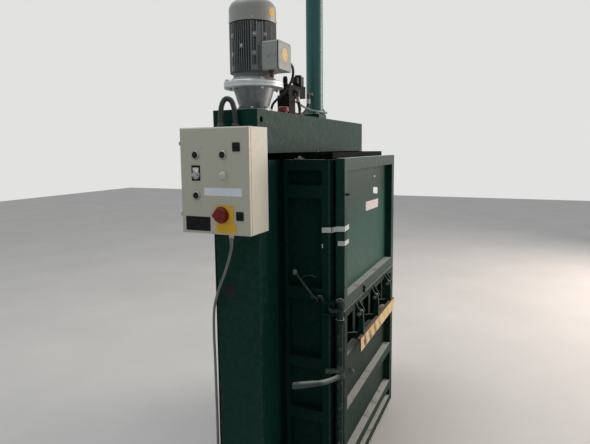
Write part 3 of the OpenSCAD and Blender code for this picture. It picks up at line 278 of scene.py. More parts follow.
def latch_paint(name):
    """Worn grey-green latch paint, rubbed down to rusty primer above the cross rod.

    The shaft's side towards the wall is darker green in patches, painted shade, but not on the rod.
    """
    g = Graph(name, 0.5, 0.0, 1.28)
    height = g.axis(g.place, "Z")
    spots = g.noise(34, 4, 0.7)
    colour = g.mix(g.between(g.noise(12, 4, 0.6), 0.35, 0.65), (50, 66, 60), (68, 82, 75))
    colour = g.mix(g.between(spots, 0.52, 0.72), colour, (104, 110, 103))
    primer = g.times(g.band(height, 0.655, 0.69, 0.80, 0.74), g.between(g.noise(20, 3), 0.3, 0.5))
    colour = g.over(colour, (112, 88, 80), primer, 0.7)
    # Painted shade: darker green patches on the shaft's side towards the wall, away from the light, not on
    # the rod
    wall_side = g.between(g.axis(g.place, "X"), -0.4925, -0.4985)
    painted_shade = g.times(wall_side, g.between(spots, 0.66, 0.56))
    rod = g.band(height, 0.61, 0.62, 0.67, 0.66)
    colour = g.over(colour, (16, 42, 37), painted_shade, g.math("SUBTRACT", 1.0, rod))
    g.relief(g.math("ADD", spots, g.noise(300, 2)), 0.25, 0.0005, 0.001)
    return g.finish(colour, g.between(spots, 0.3, 0.7, 0.38, 0.62))


def hazard_stripes(name):
    """Yellow bar with worn black diagonal stripes; the paint has rubbed off where it is handled."""
    g = Graph(name, 0.5)
    x, z = g.axis(g.place, "X"), g.axis(g.place, "Z")
    lean = g.math("ADD", x, g.times(z, 0.55))
    wobble = g.times(g.math("SUBTRACT", g.noise(24, 3), 0.5), 0.012)
    phase = g.math("FRACT", g.times(g.math("ADD", lean, wobble), 11.0), 0.0)
    stripe = g.band(phase, 0.02, 0.06, 0.5, 0.44)
    kept = g.times(g.between(g.noise(17, 3, 0.6), 0.4, 0.55), g.between(x, 0.2, -0.2, 0.12, 1.0))
    yellow = g.mix(g.between(g.noise(9, 4), 0.35, 0.65), (202, 178, 124), (194, 158, 80))
    yellow = g.mix(g.between(g.noise(70, 4, 0.7), 0.5, 0.75), yellow, (226, 214, 180))
    colour = g.over(yellow, (44, 42, 36), stripe, kept)
    rim = g.times(g.edges(), g.between(g.noise(40, 4, 0.7), 0.42, 0.6))
    colour = g.over(colour, (92, 90, 80), rim, 0.75)
    g.relief(g.math("ADD", g.noise(300, 2), g.times(kept, 0.6)), 0.2, 0.0005, 0.001)
    return g.finish(colour, g.between(kept, 0, 1, 0.62, 0.42))


# Base, deep and faded colour and dust; then haze, ledge, wear, roughness, IOR and bump
GREEN = ((6, 51, 42), (4, 45, 37), (18, 59, 50), DUST, 0.18, 0.9, 0.4, 0.38, 1.2)
# A darker copy of the green without dusty ledges: painted shade on the walls, base frame and keepers
SHADED = ((9, 44, 38), (7, 38, 33), (16, 51, 45), DUST, 0.15, 0.0, 0.05, 0.5, 1.12)
PAINTS = dict(
    green_paint=GREEN,
    shaded_green=SHADED,
    dusty_green=((13, 43, 35), (10, 37, 30), (40, 54, 44), (132, 122, 102), 0.5, 0.9, 0.5, 0.5, 1.17),
    barrel_green=((28, 88, 84), (24, 80, 76), (48, 102, 97), DUST, 0.12, 0.4, 0.2, 0.3, 1.4, 0.01),
    # A lighter copy of the green on the column webs: painted light where they lie in shade
    web_green=((15, 62, 54), (12, 56, 48), (26, 68, 60), DUST, 0.15, 0.1, 0.1, 0.5, 1.2),
    beam_green=((8, 53, 45), (6, 47, 40), (20, 60, 52), DUST, 0.08, 0.8, 0.5, 0.45, 1.16),
    pipe_paint=((92, 124, 108), (70, 104, 90), (132, 150, 138), DUST, 0.5, 0.4, 0.4, 0.4),
    lever_paint=((64, 76, 71), (48, 60, 56), (94, 102, 96), DUST, 0.5, 0.5, 0.6, 0.5, 1.3),
    catch_paint=((34, 56, 50), (24, 44, 39), (70, 86, 79), DUST, 0.6, 0.4, 0.6, 0.5, 1.25),
    knob_paint=((88, 104, 97), (66, 84, 78), (118, 128, 121), DUST, 0.5, 0.5, 0.5, 0.45),
    # Near-black paint on the platen: painted shade where it shows in the gap under the beam
    platen_paint=((12, 18, 16), (8, 12, 11), (22, 27, 25), DUST, 0.2, 0.1, 0.1, 0.7, 1.1),
    dark_iron=((15, 20, 19), (10, 14, 13), (30, 34, 32), IRON_DUST, 0.5, 0.35, 0.4, 0.6, 1.15),
    chamber_steel=((36, 46, 42), (24, 33, 30), (70, 74, 69), IRON_DUST, 0.5, 0.6, 0.6, 0.5),
    pump_iron=((58, 62, 62), (36, 40, 41), (92, 93, 88), (126, 122, 110), 0.5, 0.7, 0.6, 0.5),
    motor_paint=((98, 105, 105), (84, 91, 92), (132, 134, 130), MOTOR_DUST, 0.4, 0.7, 0.5, 0.45),
    # A lighter copy of the motor paint: painted light on the fin pads, rails and corner blocks
    motor_light=((124, 130, 129), (108, 114, 114), (146, 148, 143), MOTOR_DUST, 0.4, 0.7, 0.5, 0.45),
    cowl_paint=((150, 151, 146), (138, 140, 135), (162, 161, 153), (168, 162, 150), 0.3, 0.6, 0.3, 0.4),
    cabinet_paint=((187, 187, 171), (183, 183, 167), (193, 192, 178), (146, 142, 128),
                      0.12, 0.35, 0.3, 0.4),
    hazard_paint=((206, 176, 96), (196, 160, 70), (196, 184, 146), (150, 140, 118), 0.6, 0.5, 0.8, 0.5),
)
# Base and dark colour, roughness, metallic, grime and grain
METALS = dict(
    bare_steel=((150, 152, 148), (84, 80, 72), 0.38),
    rod_chrome=((205, 207, 208), (150, 152, 152), 0.12, 1.0, 0.2, 4),
    cast_aluminium=((124, 130, 132), (68, 75, 79), 0.28, 0.85, 0.75),
    gland_metal=((176, 177, 174), (104, 102, 95), 0.36),
    fitting_metal=((88, 88, 84), (50, 49, 46), 0.5, 0.8),
    flange_metal=((196, 202, 204), (140, 146, 148), 0.3, 0.7, 0.4),
)
# Two colours, roughness, grain, dust, haze and IOR
PLASTICS = dict(
    black_plastic=((20, 24, 23), (28, 31, 30), 0.45, 240, (90, 90, 84), 0.1, 1.25),
    grey_plastic=((140, 148, 145), (150, 155, 151), 0.5, 240, (178, 172, 160), 0.3),
    red_plastic=((196, 40, 26), (178, 32, 22), 0.36, 240, (150, 110, 96)),
    yellow_plastic=((226, 178, 40), (214, 166, 34), 0.45, 240, (180, 160, 110)),
    white_plastic=((222, 221, 210), (210, 208, 196), 0.3, 240, (150, 146, 132)),
    hose_rubber=((30, 31, 32), (42, 43, 43), 0.5, 300, (120, 116, 106), 0.3),
    cable_sheath=((118, 120, 118), (104, 106, 104), 0.5, 300, (104, 98, 88), 0.3),
    conduit_plastic=((44, 56, 54), (58, 68, 66), 0.55, 300, (126, 126, 116), 0.35),
    plug_brown=((74, 34, 28), (56, 26, 22), 0.45, 240, DUST),
    cap_red=((140, 34, 36), (116, 26, 28), 0.4, 240, (140, 104, 96)),
    switch_red=((122, 24, 18), (104, 18, 14), 0.3, 240, (120, 80, 70)),
    lamp_lens=((196, 198, 188), (184, 187, 178), 0.22, 200, (150, 146, 132)),
    label_film=((16, 18, 20), (22, 24, 26), 0.4, 200, (80, 79, 74), 0.1, 1.22),
    pale_film=((226, 233, 244), (217, 225, 236), 0.35, 200, (170, 170, 168)),
)
# Two colours and dirt; then roughness and amount of dirt
FILMS = dict(
    film_white=((226, 228, 226), (212, 215, 214), (150, 148, 138)),
    film_tape=((206, 212, 210), (186, 194, 192), (120, 126, 120), 0.35, 0.6),
    film_paper=((208, 201, 200), (197, 190, 188), (160, 146, 138), 0.6, 0.4),
    film_yellow=((224, 178, 60), (214, 168, 50), (170, 150, 110), 0.4, 0.4),
    film_pale_yellow=((216, 182, 104), (206, 172, 96), (176, 160, 130), 0.4, 0.5),
    film_black=((20, 22, 23), (28, 30, 31), (70, 70, 66), 0.5, 0.3),
    bar_top=((150, 134, 116), (128, 112, 96), (96, 88, 78), 0.6, 0.6),
    bar_end=((62, 50, 38), (44, 38, 30), (110, 98, 80), 0.6, 0.5),
    wall_ledge=((150, 156, 148), (120, 130, 122), (60, 84, 76), 0.6, 0.5),
)
M = {
    # The walls' painted-shade green, with the painted highlight and painted gap shade at the post's edge
    "left_wall_green": machine_paint("left_wall_green", *SHADED, highlight_y=-0.31),
    "door_panel_green": machine_paint("door_panel_green", *GREEN, low=(29, 76, 65)),
    "latch_paint": latch_paint("latch_paint"),
    "hazard_stripes": hazard_stripes("hazard_stripes"),
}
for finish_of, table in ((machine_paint, PAINTS), (bare_metal, METALS), (moulded, PLASTICS), (film, FILMS)):
    M.update({name: finish_of(name, *values) for name, values in table.items()})

# The nodes whose finish isn't their slot's own
LOOK = dict(
    latch_shaft="latch_paint", latch_lever="lever_paint", lever_grip="lever_paint",
    catch_arm="catch_paint", catch_knob="knob_paint", catch_pin="dark_iron",
    hinge_pins="dark_iron", manifold_block="dark_iron", directional_valve="dark_iron",
    rod_side_pipe="pipe_paint", hose_fittings="fitting_metal", terminal_gland="plug_brown",
    filler_cap="cap_red", main_switch="switch_red", pilot_lamp="lamp_lens",
    retainer_bar="hazard_stripes", lower_door="dusty_green", cylinder_barrel="barrel_green",
    base_frame="shaded_green", latch_keepers="shaded_green", left_wall="left_wall_green",
    column_webs="web_green", top_beam="beam_green", platen="platen_paint",
)
SLOT = {s["node"]: s["material_slot"] for s in frame["record"]["subparts"]}
for node, obj in NODES.items():
    for place in obj.material_slots:
        place.material = M[LOOK.get(node, SLOT[node])]


def repaint(node, finish, chosen):
    """Another finish on the faces of a CAD node whose centres are chosen."""
    data = NODES[node].data
    data.materials.append(M[finish])
    index = len(data.materials) - 1
    for p in data.polygons:
        if chosen(p.center / MM):
            p.material_index = index


# Places of the CAD solids that scene.py's own pieces sit on
BEAM_Z, BEAM_TOP, BEAM_OUT, COLUMN_OUT = 1573, 1745, 717.5, 717.5
BARREL_R, BARREL_Z, BARREL_H, RAM_Y = 43, 1765, 880, -55
MOTOR_X, MOTOR_Z, MOTOR_R = -555.5, 1854, 97.5
FINS_Z, FINS_H, COWL_Z = 1902, 199, 2101
BOX_SIDE_X, BOX_LID_Y = -645.5, -159
CAB_TOP, CAB_LOW, CAB_LEFT, CAB_RIGHT, CAB_FRONT = 1672, 1272, 158, -142, -867.5
WALL_TOP, POST_SIDE = 1543, -489
DOOR_PANEL, DOOR_FRONT, DOOR_SIDE = -334, -370, -462.5
LATCH_X, LATCH_Y, SHAFT_TOP, LEVER_Z = -499.5, -363, 951, 640
DOG_PLACES, DOG_HALF = (-275, 0, 275), 5.3
BAR_TOP, BAR_BACK, BAR_LEFT = 731, -389.5, -339.5
BELL_RIM, MOTOR_FLANGE, PALE_PLATE = 1836, 1866.5, (1415, 1451)


def of_a_dog(c):
    """Whether a face belongs to one of the three dogs, and not to the bar's top beside it."""
    on_bar = 724 < c.z < 732 and c.y < BAR_BACK
    return (c.y > -401.9 or c.z > 732) and any(abs(c.x - x) < DOG_HALF for x in DOG_PLACES) and not on_bar


repaint("retainer_bar", "green_paint", of_a_dog)
repaint("retainer_bar", "bar_top", lambda c: abs(c.z - BAR_TOP) < 0.1 and c.y < BAR_BACK)
repaint("retainer_bar", "bar_end", lambda c: c.x < BAR_LEFT)
repaint("bell_housing", "flange_metal", lambda c: c.z > BELL_RIM)
repaint("motor_body", "flange_metal", lambda c: c.z < MOTOR_FLANGE)
repaint("label_plates", "pale_film", lambda c: PALE_PLATE[0] < c.z < PALE_PLATE[1])
repaint("left_wall", "wall_ledge", lambda c: c.z > WALL_TOP - 1)
repaint("upper_door", "door_panel_green", lambda c: abs(c.y - DOOR_PANEL) < 0.2)


# -------- pieces
def piece(name, bm, body, slot, finish=None, smooth=None):
    """A finished mesh as an object that rides on a body."""
    bmesh.ops.recalc_face_normals(bm, faces=bm.faces)
    data = bpy.data.meshes.new(name)
    bm.to_mesh(data)
    bm.free()
    obj = add(name, data)
    data.materials.append(M[finish or slot])
    if smooth is not None:
        for p in data.polygons:
            p.use_smooth = True
        data.set_sharp_from_angle(angle=radians(smooth))
    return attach(obj, body)


def trim(name, bm, body="frame", smooth=30):
    """Fasteners and other small bright parts."""
    piece(name, bm, body, "gland_metal", smooth=smooth)


def made(build, *args, **kwargs):
    """A mesh with one solid in it."""
    bm = bmesh.new()
    build(bm, *args, **kwargs)
    return bm


def each(build, rows):
    """A mesh with one solid for each row of arguments."""
    bm = bmesh.new()
    for row in rows:
        build(bm, *row)
    return bm


def turned(bm, profile, at, direction, faces, roll=0.0):
    """Solid of revolution from (radius, height) pairs; a ring where the last is the first."""
    turn = Vector(direction).to_track_quat("Z", "Y").to_matrix().to_4x4()
    place = Matrix.Translation(Vector(at) * MM) @ turn @ Matrix.Rotation(roll, 4, "Z")
    whole = profile[0] != profile[-1]
    rings = []
    for r, h in profile if whole else profile[:-1]:
        angles = [2 * pi * k / faces for k in range(faces)] if r > 1e-6 else [0]
        rings.append([bm.verts.new(place @ Vector((r * MM * cos(a), r * MM * sin(a), h * MM)))
                      for a in angles])
    for a, b in zip(rings, rings[1:] if whole else rings[1:] + rings[:1]):
        for k in range(faces if len(a) > 1 or len(b) > 1 else 0):
            j = (k + 1) % faces
            if len(a) == 1:
                bm.faces.new((a[0], b[k], b[j]))
            elif len(b) == 1:
                bm.faces.new((a[k], b[0], a[j]))
            else:
                bm.faces.new((a[k], b[k], b[j], a[j]))
    for ring, flip in ((rings[0], True), (rings[-1], False)):
        if whole and len(ring) > 2:
            bm.faces.new(ring[::-1] if flip else ring)


def slab(bm, low, high, bevel, segments=2):
    """Box between two corners, with rounded edges."""
    low, high = Vector(low) * MM, Vector(high) * MM
    corners = bmesh.ops.create_cube(bm, size=1)["verts"]
    for v in corners:
        v.co = Vector([lo + (c + 0.5) * (hi - lo) for c, lo, hi in zip(v.co, low, high)])
    edges = {e for v in corners for e in v.link_edges}
    bmesh.ops.bevel(bm, geom=list(edges), offset=bevel * MM, segments=segments, affect="EDGES")


def hex_bolt(bm, at, direction, flats, head):
    washer, r = flats * 0.85, flats / sqrt(3)
    turned(bm, [(0, 0), (washer, 0), (washer, 1.4), (flats * 0.8, 1.8), (0, 1.8)], at, direction, 20)
    turned(bm, [(0, 1.8), (r, 1.8), (r, 1.8 + head * 0.86), (r * 0.9, 1.8 + head), (0, 1.8 + head)],
           at, direction, 6, rng.uniform(0, 1))


def pan_screw(bm, at, direction, r, h):
    """Pan-head screw with a recess."""
    turned(bm, [(0, -0.2), (r, -0.2), (r, h * 0.45), (r * 0.8, h * 0.85), (r * 0.45, h),
                (r * 0.36, h - 0.9), (0, h - 1.1)], at, direction, 16)


def socket_screw(bm, at, direction, r, h):
    turned(bm, [(0, -0.2), (r, -0.2), (r, h - 0.7), (r - 0.7, h), (r * 0.55, h), (r * 0.52, h - 3),
                (0, h - 3.4)], at, direction, 20)


def skin(bm, a, b):
    """Faces between two closed rings of vertices."""
    for k in range(len(a)):
        j = (k + 1) % len(a)
        bm.faces.new((a[k], a[j], b[j], b[k]))


def swept(bm, line, radius, faces):
    """Tube along points; radius is one number, or one for each point."""
    last = len(line) - 1
    radii = radius if isinstance(radius, list) else [radius] * len(line)
    side, rings = None, []
    for i, p in enumerate(line):
        along = (line[min(i + 1, last)] - line[max(i - 1, 0)]).normalized()
        side = side or along.orthogonal()
        side = (side - along * side.dot(along)).normalized()
        other = along.cross(side)
        rings.append([bm.verts.new((p + (side * cos(a) + other * sin(a)) * radii[i]) * MM)
                      for a in (2 * pi * k / faces for k in range(faces))])
    for a, b in zip(rings, rings[1:]):
        skin(bm, a, b)
    bm.faces.new(rings[0][::-1])
    bm.faces.new(rings[-1])


def weld(bm, a, b, r=2.6):
    """Lumpy weld bead between two points."""
    a, b = Vector(a), Vector(b)
    n = max(4, int((b - a).length / 2.2))
    line = [a.lerp(b, k / n) for k in range(n + 1)]
    swept(bm, line, [r * (0.82 + 0.22 * sin(k * 2.1) + rng.uniform(-0.08, 0.08))
                     for k in range(n + 1)], 8)


def plate_on(bm, centre, normal, up, width, height, depth=0.35, r=2.0, seg=4):
    """Thin plate with rounded corners, lying on a plane."""
    n, u, c = Vector(normal).normalized(), Vector(up), Vector(centre)
    u = (u - n * u.dot(n)).normalized()
    w = u.cross(n)
    outline = []
    for sx, sy, start in ((1, 1, 0), (-1, 1, 90), (-1, -1, 180), (1, -1, 270)):
        for k in range(seg + 1):
            a = radians(start + 90 * k / seg)
            outline.append((sx * (width / 2 - r) + r * cos(a), sy * (height / 2 - r) + r * sin(a)))
    low, high = ([bm.verts.new((c + w * x + u * y + n * lift) * MM) for x, y in outline]
                 for lift in (0, depth))
    bm.faces.new(low[::-1])
    bm.faces.new(high)
    skin(bm, low, high)


TAPE_DEPTH, TAPE_RAGGED, TAPE_COLUMNS = 0.4, 1.2, 6


def strip_along(bm, path, width):
    """Tape that follows a path of (x, y, z, normal) rows; slightly torn ends."""
    last = len(path) - 1
    rows = []
    for i, (x, y, z, n) in enumerate(path):
        p, n, half = Vector((x, y, z)), Vector(n).normalized(), Vector((0, 0, width / 2))
        end = 1 if i == 0 else -1 if i == last else 0
        step = (Vector(path[min(i + 1, last)][:3]) - Vector(path[max(i - 1, 0)][:3])).normalized()
        row = []
        for k in range(TAPE_COLUMNS + 1):
            share = k / TAPE_COLUMNS - 0.5
            pull = end * TAPE_RAGGED * (0.5 + 0.5 * sin(k * 2.4 + i))
            row.append((p + half * share * 2 + step * pull, n))
        rows.append(row)
    low = [[bm.verts.new(p * MM) for p, n in row] for row in rows]
    high = [[bm.verts.new((p + n * TAPE_DEPTH) * MM) for p, n in row] for row in rows]
    for a in range(last):
        b = a + 1
        for k in range(TAPE_COLUMNS):
            bm.faces.new((high[a][k], high[b][k], high[b][k + 1], high[a][k + 1]))
            bm.faces.new((low[a][k + 1], low[b][k + 1], low[b][k], low[a][k]))
    for side in (0, TAPE_COLUMNS):
        for a in range(last):
            bm.faces.new((low[a][side], low[a + 1][side], high[a + 1][side], high[a][side]))
    for end in (0, last):
        for k in range(TAPE_COLUMNS):
            bm.faces.new((low[end][k], low[end][k + 1], high[end][k + 1], high[end][k]))


# -------- supply cable
def smooth_line(points, steps):
    """Catmull-Rom curve through points, as part.scad's tube follows them."""
    last = len(points) - 1
    line = []
    for i in range(last):
        a, b = points[max(i - 1, 0)], points[i]
        c, d = points[i + 1], points[min(i + 2, last)]
        for k in range(steps):
            t = k / steps
            line.append(0.5 * (2 * b + (c - a) * t + (2 * a - 5 * b + 4 * c - d) * t * t
                               + (3 * b - a - 3 * c + d) * t * t * t))
    return line + [points[-1]]


CABLE_R = 5.5
CABLE_ROUTE = [
    (-790, -16, 1260), (-790, -16, 1248), (-790, -16, 1236), (-789, -13, 1205), (-781, 8, 1145),
    (-768, 36, 1090), (-756, 64, 1040), (-746, 88, 990), (-738, 106, 940), (-730, 117, 880),
    (-724, 122, 800), (-718, 124, 700), (-714, 126, 600), (-710, 128, 500), (-706, 130, 400),
    (-702, 133, 300), (-698, 138, 200), (-692, 144, 120), (-684, 154, 60), (-670, 168, 24),
    (-646, 184, 9), (-614, 199, 5.6), (-580, 202.5, 5.6)]
COIL_AT = Vector((-580, 279, 0))
COIL_TURNS, COIL_STEPS, COIL_MID_R = 6.5, 24, 65
COIL_RADII = [76.5, 65.0, 53.5, 53.5, 65.0, 76.5, 76.5]
COIL_HEIGHTS = [5.6] * 3 + [16.8] * 4
PLUG_R = 29
PLUG_AT = COIL_AT + Vector((-100, COIL_MID_R + 12, PLUG_R))


def coil_point(turn):
    """Point of the coil after so many turns: three across, then the rest on top of them."""
    i = min(int(turn), 5)
    ease = max(0.0, (turn - i - 0.7) / 0.3)
    ease = ease * ease * (3 - 2 * ease)
    r, z = (values[i] + (values[i + 1] - values[i]) * ease for values in (COIL_RADII, COIL_HEIGHTS))
    a = radians(-90 + 360 * turn)
    return COIL_AT + Vector((r * cos(a), r * sin(a), z))


def cord_line():
    line = smooth_line([Vector(p) for p in CABLE_ROUTE], 5)
    line += [coil_point(i / COIL_STEPS) for i in range(1, int(COIL_TURNS * COIL_STEPS) + 1)]
    end = [line[-1], COIL_AT + Vector((-34, 77.5, 19)), COIL_AT + Vector((-64, COIL_MID_R + 12, 25)),
           PLUG_AT + Vector((14, 0, 0)), PLUG_AT + Vector((7, 0, 0)), PLUG_AT]
    return line[:-1] + smooth_line(end, 4)


def curve_tube(name, line, radius, body, slot):
    data = bpy.data.curves.new(name, "CURVE")
    data.dimensions = "3D"
    data.bevel_depth = radius * MM
    data.bevel_resolution = 4
    data.use_fill_caps = True
    spline = data.splines.new("POLY")
    spline.points.add(len(line) - 1)
    for p, co in zip(spline.points, line):
        p.co = (*(co * MM), 1)
    obj = add(name, data)
    data.materials.append(M[slot])
    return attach(obj, body)


cord_points = cord_line()
cord = curve_tube("supply_cord", cord_points, CABLE_R, "frame", "cable_sheath")
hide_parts("supply_cable")

piece("cord_sleeve", made(turned, [
    (5.7, 0), (9.4, 0), (9.4, 4), (8.6, 6), (8.6, 9), (7.8, 11), (7.8, 14), (7.2, 16), (7.2, 20),
    (6.6, 22), (6.4, 30), (5.7, 31), (5.7, 0)], CABLE_ROUTE[1], (0.0, 0.06, -1), 20),
    "frame", "cable_sheath", smooth=40)


# -------- stickers, labels and tapes
def label(name, body, kind, *args, **kwargs):
    piece(name, made(plate_on, *args, **kwargs), body, "label_film", "film_" + kind)


label("door_label", "upper_door", "paper", (112, DOOR_PANEL, 1293), FRONT, (0.02, 0, 1), 246, 46, r=3)
label("door_sticker", "upper_door", "white", (176, DOOR_PANEL, 1363), FRONT, (0.1, 0, 1), 92, 34,
      r=9, seg=3)
label("door_fleck", "upper_door", "white", (158, DOOR_PANEL, 1440), FRONT, UP, 20, 8, r=3, seg=2)
label("post_remnant", "frame", "tape", (POST_SIDE, -279.5, 1177), LEFT, UP, 5, 17, r=1.5, seg=3)
label("column_label", "frame", "black", (-COLUMN_OUT, 42, 1009), LEFT, UP, 57, 46, depth=0.8, r=3)


def tape(name, body, path, width):
    piece(name, made(strip_along, path, width), body, "label_film", "film_tape")


# From the post over the gap to the door, in two halves, and a second one on the door's edge
CORNER_WAY = (-1, -1, 0)
tape("tape_post", "frame", [
    (POST_SIDE, -277, 1246, LEFT), (POST_SIDE, -300, 1247, LEFT), (POST_SIDE, -319, 1248, LEFT),
    (-484, -325.6, 1248.5, LEFT)], 22)
tape("tape_door", "upper_door", [
    (-483, -326.2, 1248.5, LEFT), (-472, -330, 1249, (-1, 0.4, 0)), (-463.4, -335, 1249.5, LEFT),
    (DOOR_SIDE, -352, 1250, LEFT), (DOOR_SIDE, -368.5, 1251, LEFT),
    (-461.5, DOOR_FRONT, 1251, CORNER_WAY), (-440, DOOR_FRONT, 1252, FRONT),
    (-403, DOOR_FRONT, 1254, FRONT)], 22)
tape("tape_low", "upper_door", [
    (DOOR_SIDE, -339, 1188, LEFT), (DOOR_SIDE, -355, 1188.5, LEFT), (DOOR_SIDE, -368.5, 1189, LEFT),
    (-461.5, DOOR_FRONT, 1189, CORNER_WAY), (-440, DOOR_FRONT, 1190, FRONT),
    (-405, DOOR_FRONT, 1192, FRONT)], 20)


# -------- hoses, pipes and bent tubes
def route(*points):
    return smooth_line([Vector(p) for p in points], 8)


def straight(at, direction, step):
    """Three points in a line, so that a tube leaves its end straight."""
    return [Vector(at) + Vector(direction) * step * k for k in range(3)]


def evenly(line, step):
    """The same line with points a step apart."""
    out, left = [line[0].copy()], step
    for a, b in zip(line, line[1:]):
        gap = (b - a).length
        at = left
        while at <= gap:
            out.append(a.lerp(b, at / gap))
            at += step
        left = at - gap
    if (out[-1] - line[-1]).length < 0.4 * step:
        out.pop()
    return out + [line[-1].copy()]


def smooth_tube(name, node, line, radius, slot, body="frame", faces=16, finish=None, angle=35):
    """Smooth tube in the place of a CAD node."""
    tube = piece(name, made(swept, line, radius, faces), body, slot, finish, angle)
    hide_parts(node)


def ferrules(name, ends, r):
    """Crimped sockets on a hose's ends; ends are pairs of a point and the direction along the hose."""
    profile = [(0, 0), (r + 1, 0), (r + 2, 1)]
    for h in range(0, 20, 4):
        profile += [(r + 2, 2 + h), (r + 1.1, 3 + h), (r + 1.1, 4.6 + h), (r + 2, 5.6 + h)]
    profile += [(r + 1.2, 23), (r * 0.6, 23)]
    trim(name, each(turned, [(profile, at, along, 24) for at, along in ends]))


PRESSURE_START, PRESSURE_END = (-86, -55, 1836), (-236, -20, 1765)
smooth_tube("pressure_hose_rubber", "pressure_hose", route(
    *straight(PRESSURE_START, DOWN, 5), (-87, -53, 1806), (-97, -49, 1784), (-119, -43, 1765.5),
    (-154, -35, 1756.5), (-192, -26, 1758), *straight(PRESSURE_END, RIGHT, 5)[::-1]), 8, "hose_rubber")
ferrules("pressure_hose_ends", [(PRESSURE_START, DOWN), (PRESSURE_END, (1, 0, 0.03))], 7.4)
RETURN_START, RETURN_END = (-249, -69, 1833), (-214, -62, 1771)
smooth_tube("return_hose_rubber", "return_hose", route(
    *straight(RETURN_START, DOWN, 4), (-245.5, -69, 1811), (-232, -66.5, 1796), (-218, -63, 1785),
    *straight(RETURN_END, UP, 3)[::-1]), 7.6, "hose_rubber")
ferrules("return_hose_ends", [(RETURN_START, DOWN)], 6.8)

CABLE_EXIT = Vector((-523.5, -137, 1945))
CABLE_FOOT = CABLE_EXIT + Vector((124, 136, -200))
MOTOR_CABLE_WAY = [(48, 0, -3), (67, 1, -16), (76, 4, -38), (78, 12, -64), (80, 30, -92), (88, 52, -112),
                   (100, 78, -126), (113, 104, -140), (121, 126, -158)]
smooth_tube("motor_cable_sheath", "motor_cable", route(
    *straight(CABLE_EXIT + Vector((8, 0, 0)), RIGHT, 9),
    *[CABLE_EXIT + Vector(p) for p in MOTOR_CABLE_WAY],
    *straight(CABLE_FOOT, UP, 8)[::-1]), 5.6, "hose_rubber")
piece("motor_cable_grommets", each(turned, [
    ([(5.6, 0), (13, 0), (13, 3), (10, 5), (8, 8), (5.6, 8), (5.6, 0)], CABLE_FOOT, UP, 24),
    ([(6, 0), (9, 0), (8.4, 3), (8.4, 5), (7.4, 7), (7.4, 9), (6.4, 14), (5.6, 15), (6, 0)],
     CABLE_EXIT + Vector((20, 0, 0)), RIGHT, 24)]), "frame", "hose_rubber", smooth=40)

# Corrugated conduit with a nut at each foot
CONDUIT_RIBS = (11.2, 10.8, 9.6, 9.5, 10.3)
conduit_line = evenly(route(
    (-755.5, 40, 1681), (-755.5, 41, 1722), (-752.5, 36, 1762), (-747.5, 22, 1784), (-739.5, 2, 1778),
    (-737.5, -10, 1746), (-737.5, -14, 1712), (-737.5, -14, 1681)), 1.1)
smooth_tube("conduit_ribbed", "control_conduit", conduit_line,
            [CONDUIT_RIBS[k % 5] for k in range(len(conduit_line))], "hose_rubber",
            finish="conduit_plastic", angle=60)
NUT = [(9, 0), (17.3, 0), (17.3, 5.4), (16, 7), (13, 7), (12.6, 9), (12.6, 16), (11.4, 19), (9, 19), (9, 0)]
COLLAR = [(8, 5), (15, 5), (15, 13), (14, 14.5), (12.2, 20), (8, 20), (8, 5)]
piece("conduit_nuts", each(turned, [
    (profile, (x, y, CAB_TOP), UP, faces) for x, y in ((-755.5, 40), (-737.5, -14))
    for profile, faces in ((NUT, 6), (COLLAR, 24))]),
    "frame", "hose_rubber", "conduit_plastic", smooth=30)

# Rod-side pipe with its nut and clamps; heights count from PIPE_FOOT, then from PIPE_TOP
PIPE_FOOT = BEAM_TOP + 29
PIPE_TOP = BARREL_Z + BARREL_H - 30
PIPE_LOW = [
    (-256, -46, 40), (-251, -46, 40), (-246, -46, 40), (-216, -50, 36), (-172, -62, 20),
    (-120.4, -78.5, 6), (-81.7, -101, 0), (-43, -111, 0), (0, -111, 0), (38.7, -106, 0), (63, -89, 5),
    (71, -69, 28), (71, RAM_Y, 79), (71, RAM_Y, 176), (71, RAM_Y, 484), (71, RAM_Y, 748)]
PIPE_HIGH = [(71, RAM_Y, -24), (69, RAM_Y, -10), (65, RAM_Y, -2), (58, RAM_Y, 0), (56.5, RAM_Y, 0),
             (55, RAM_Y, 0)]
smooth_tube("rod_side_pipe_bent", "rod_side_pipe", route(
    *[(x, y, PIPE_FOOT + z) for x, y, z in PIPE_LOW], *[(x, y, PIPE_TOP + z) for x, y, z in PIPE_HIGH]),
    5, "bare_steel", finish="pipe_paint")
clamps = bmesh.new()
for z in (2020, 2390):
    slab(clamps, (BARREL_R - 1.5, RAM_Y - 12, z), (78, RAM_Y + 12, z + 14), 1.5)
    hex_bolt(clamps, (56, RAM_Y - 12, z + 7), FRONT, 10, 5)
turned(clamps, [(5, 0), (9.2, 0), (9.2, 9), (8, 11), (5, 11), (5, 0)],
       (-256, -46, PIPE_FOOT + 40), RIGHT, 6)
piece("pipe_clamps", clamps, "frame", "green_paint", "barrel_green", smooth=35)

# Latch lever as one bent tube, and the socket that holds it
along_grip = Vector((-50, 72, 0)).normalized()
grip_start = Vector((-150, 64, 28))
lever_base = Vector((LATCH_X, LATCH_Y, LEVER_Z - 28))
lever_line = [lever_base + p for p in route(
    (-17, 4, 8), (-60, 18, 12), (-100, 29, 20),
    *[grip_start - along_grip * back for back in (32, 16, 8, 0)])]
smooth_tube("lever_bent", "latch_lever", lever_line, 11, "bare_steel", "latch", 24, "lever_paint")
socket = made(turned, [(13.1, 0), (18, 0), (19, 1.2), (19, 14.8), (18, 16), (13.1, 16), (13.1, 0)],
              lever_base, UP, 40)
weld(socket, lever_base + Vector((-19.5, -7, 8)), lever_base + Vector((-16.5, 14, 8)), 2.4)
piece("lever_socket", socket, "latch", "bare_steel", "lever_paint", smooth=40)

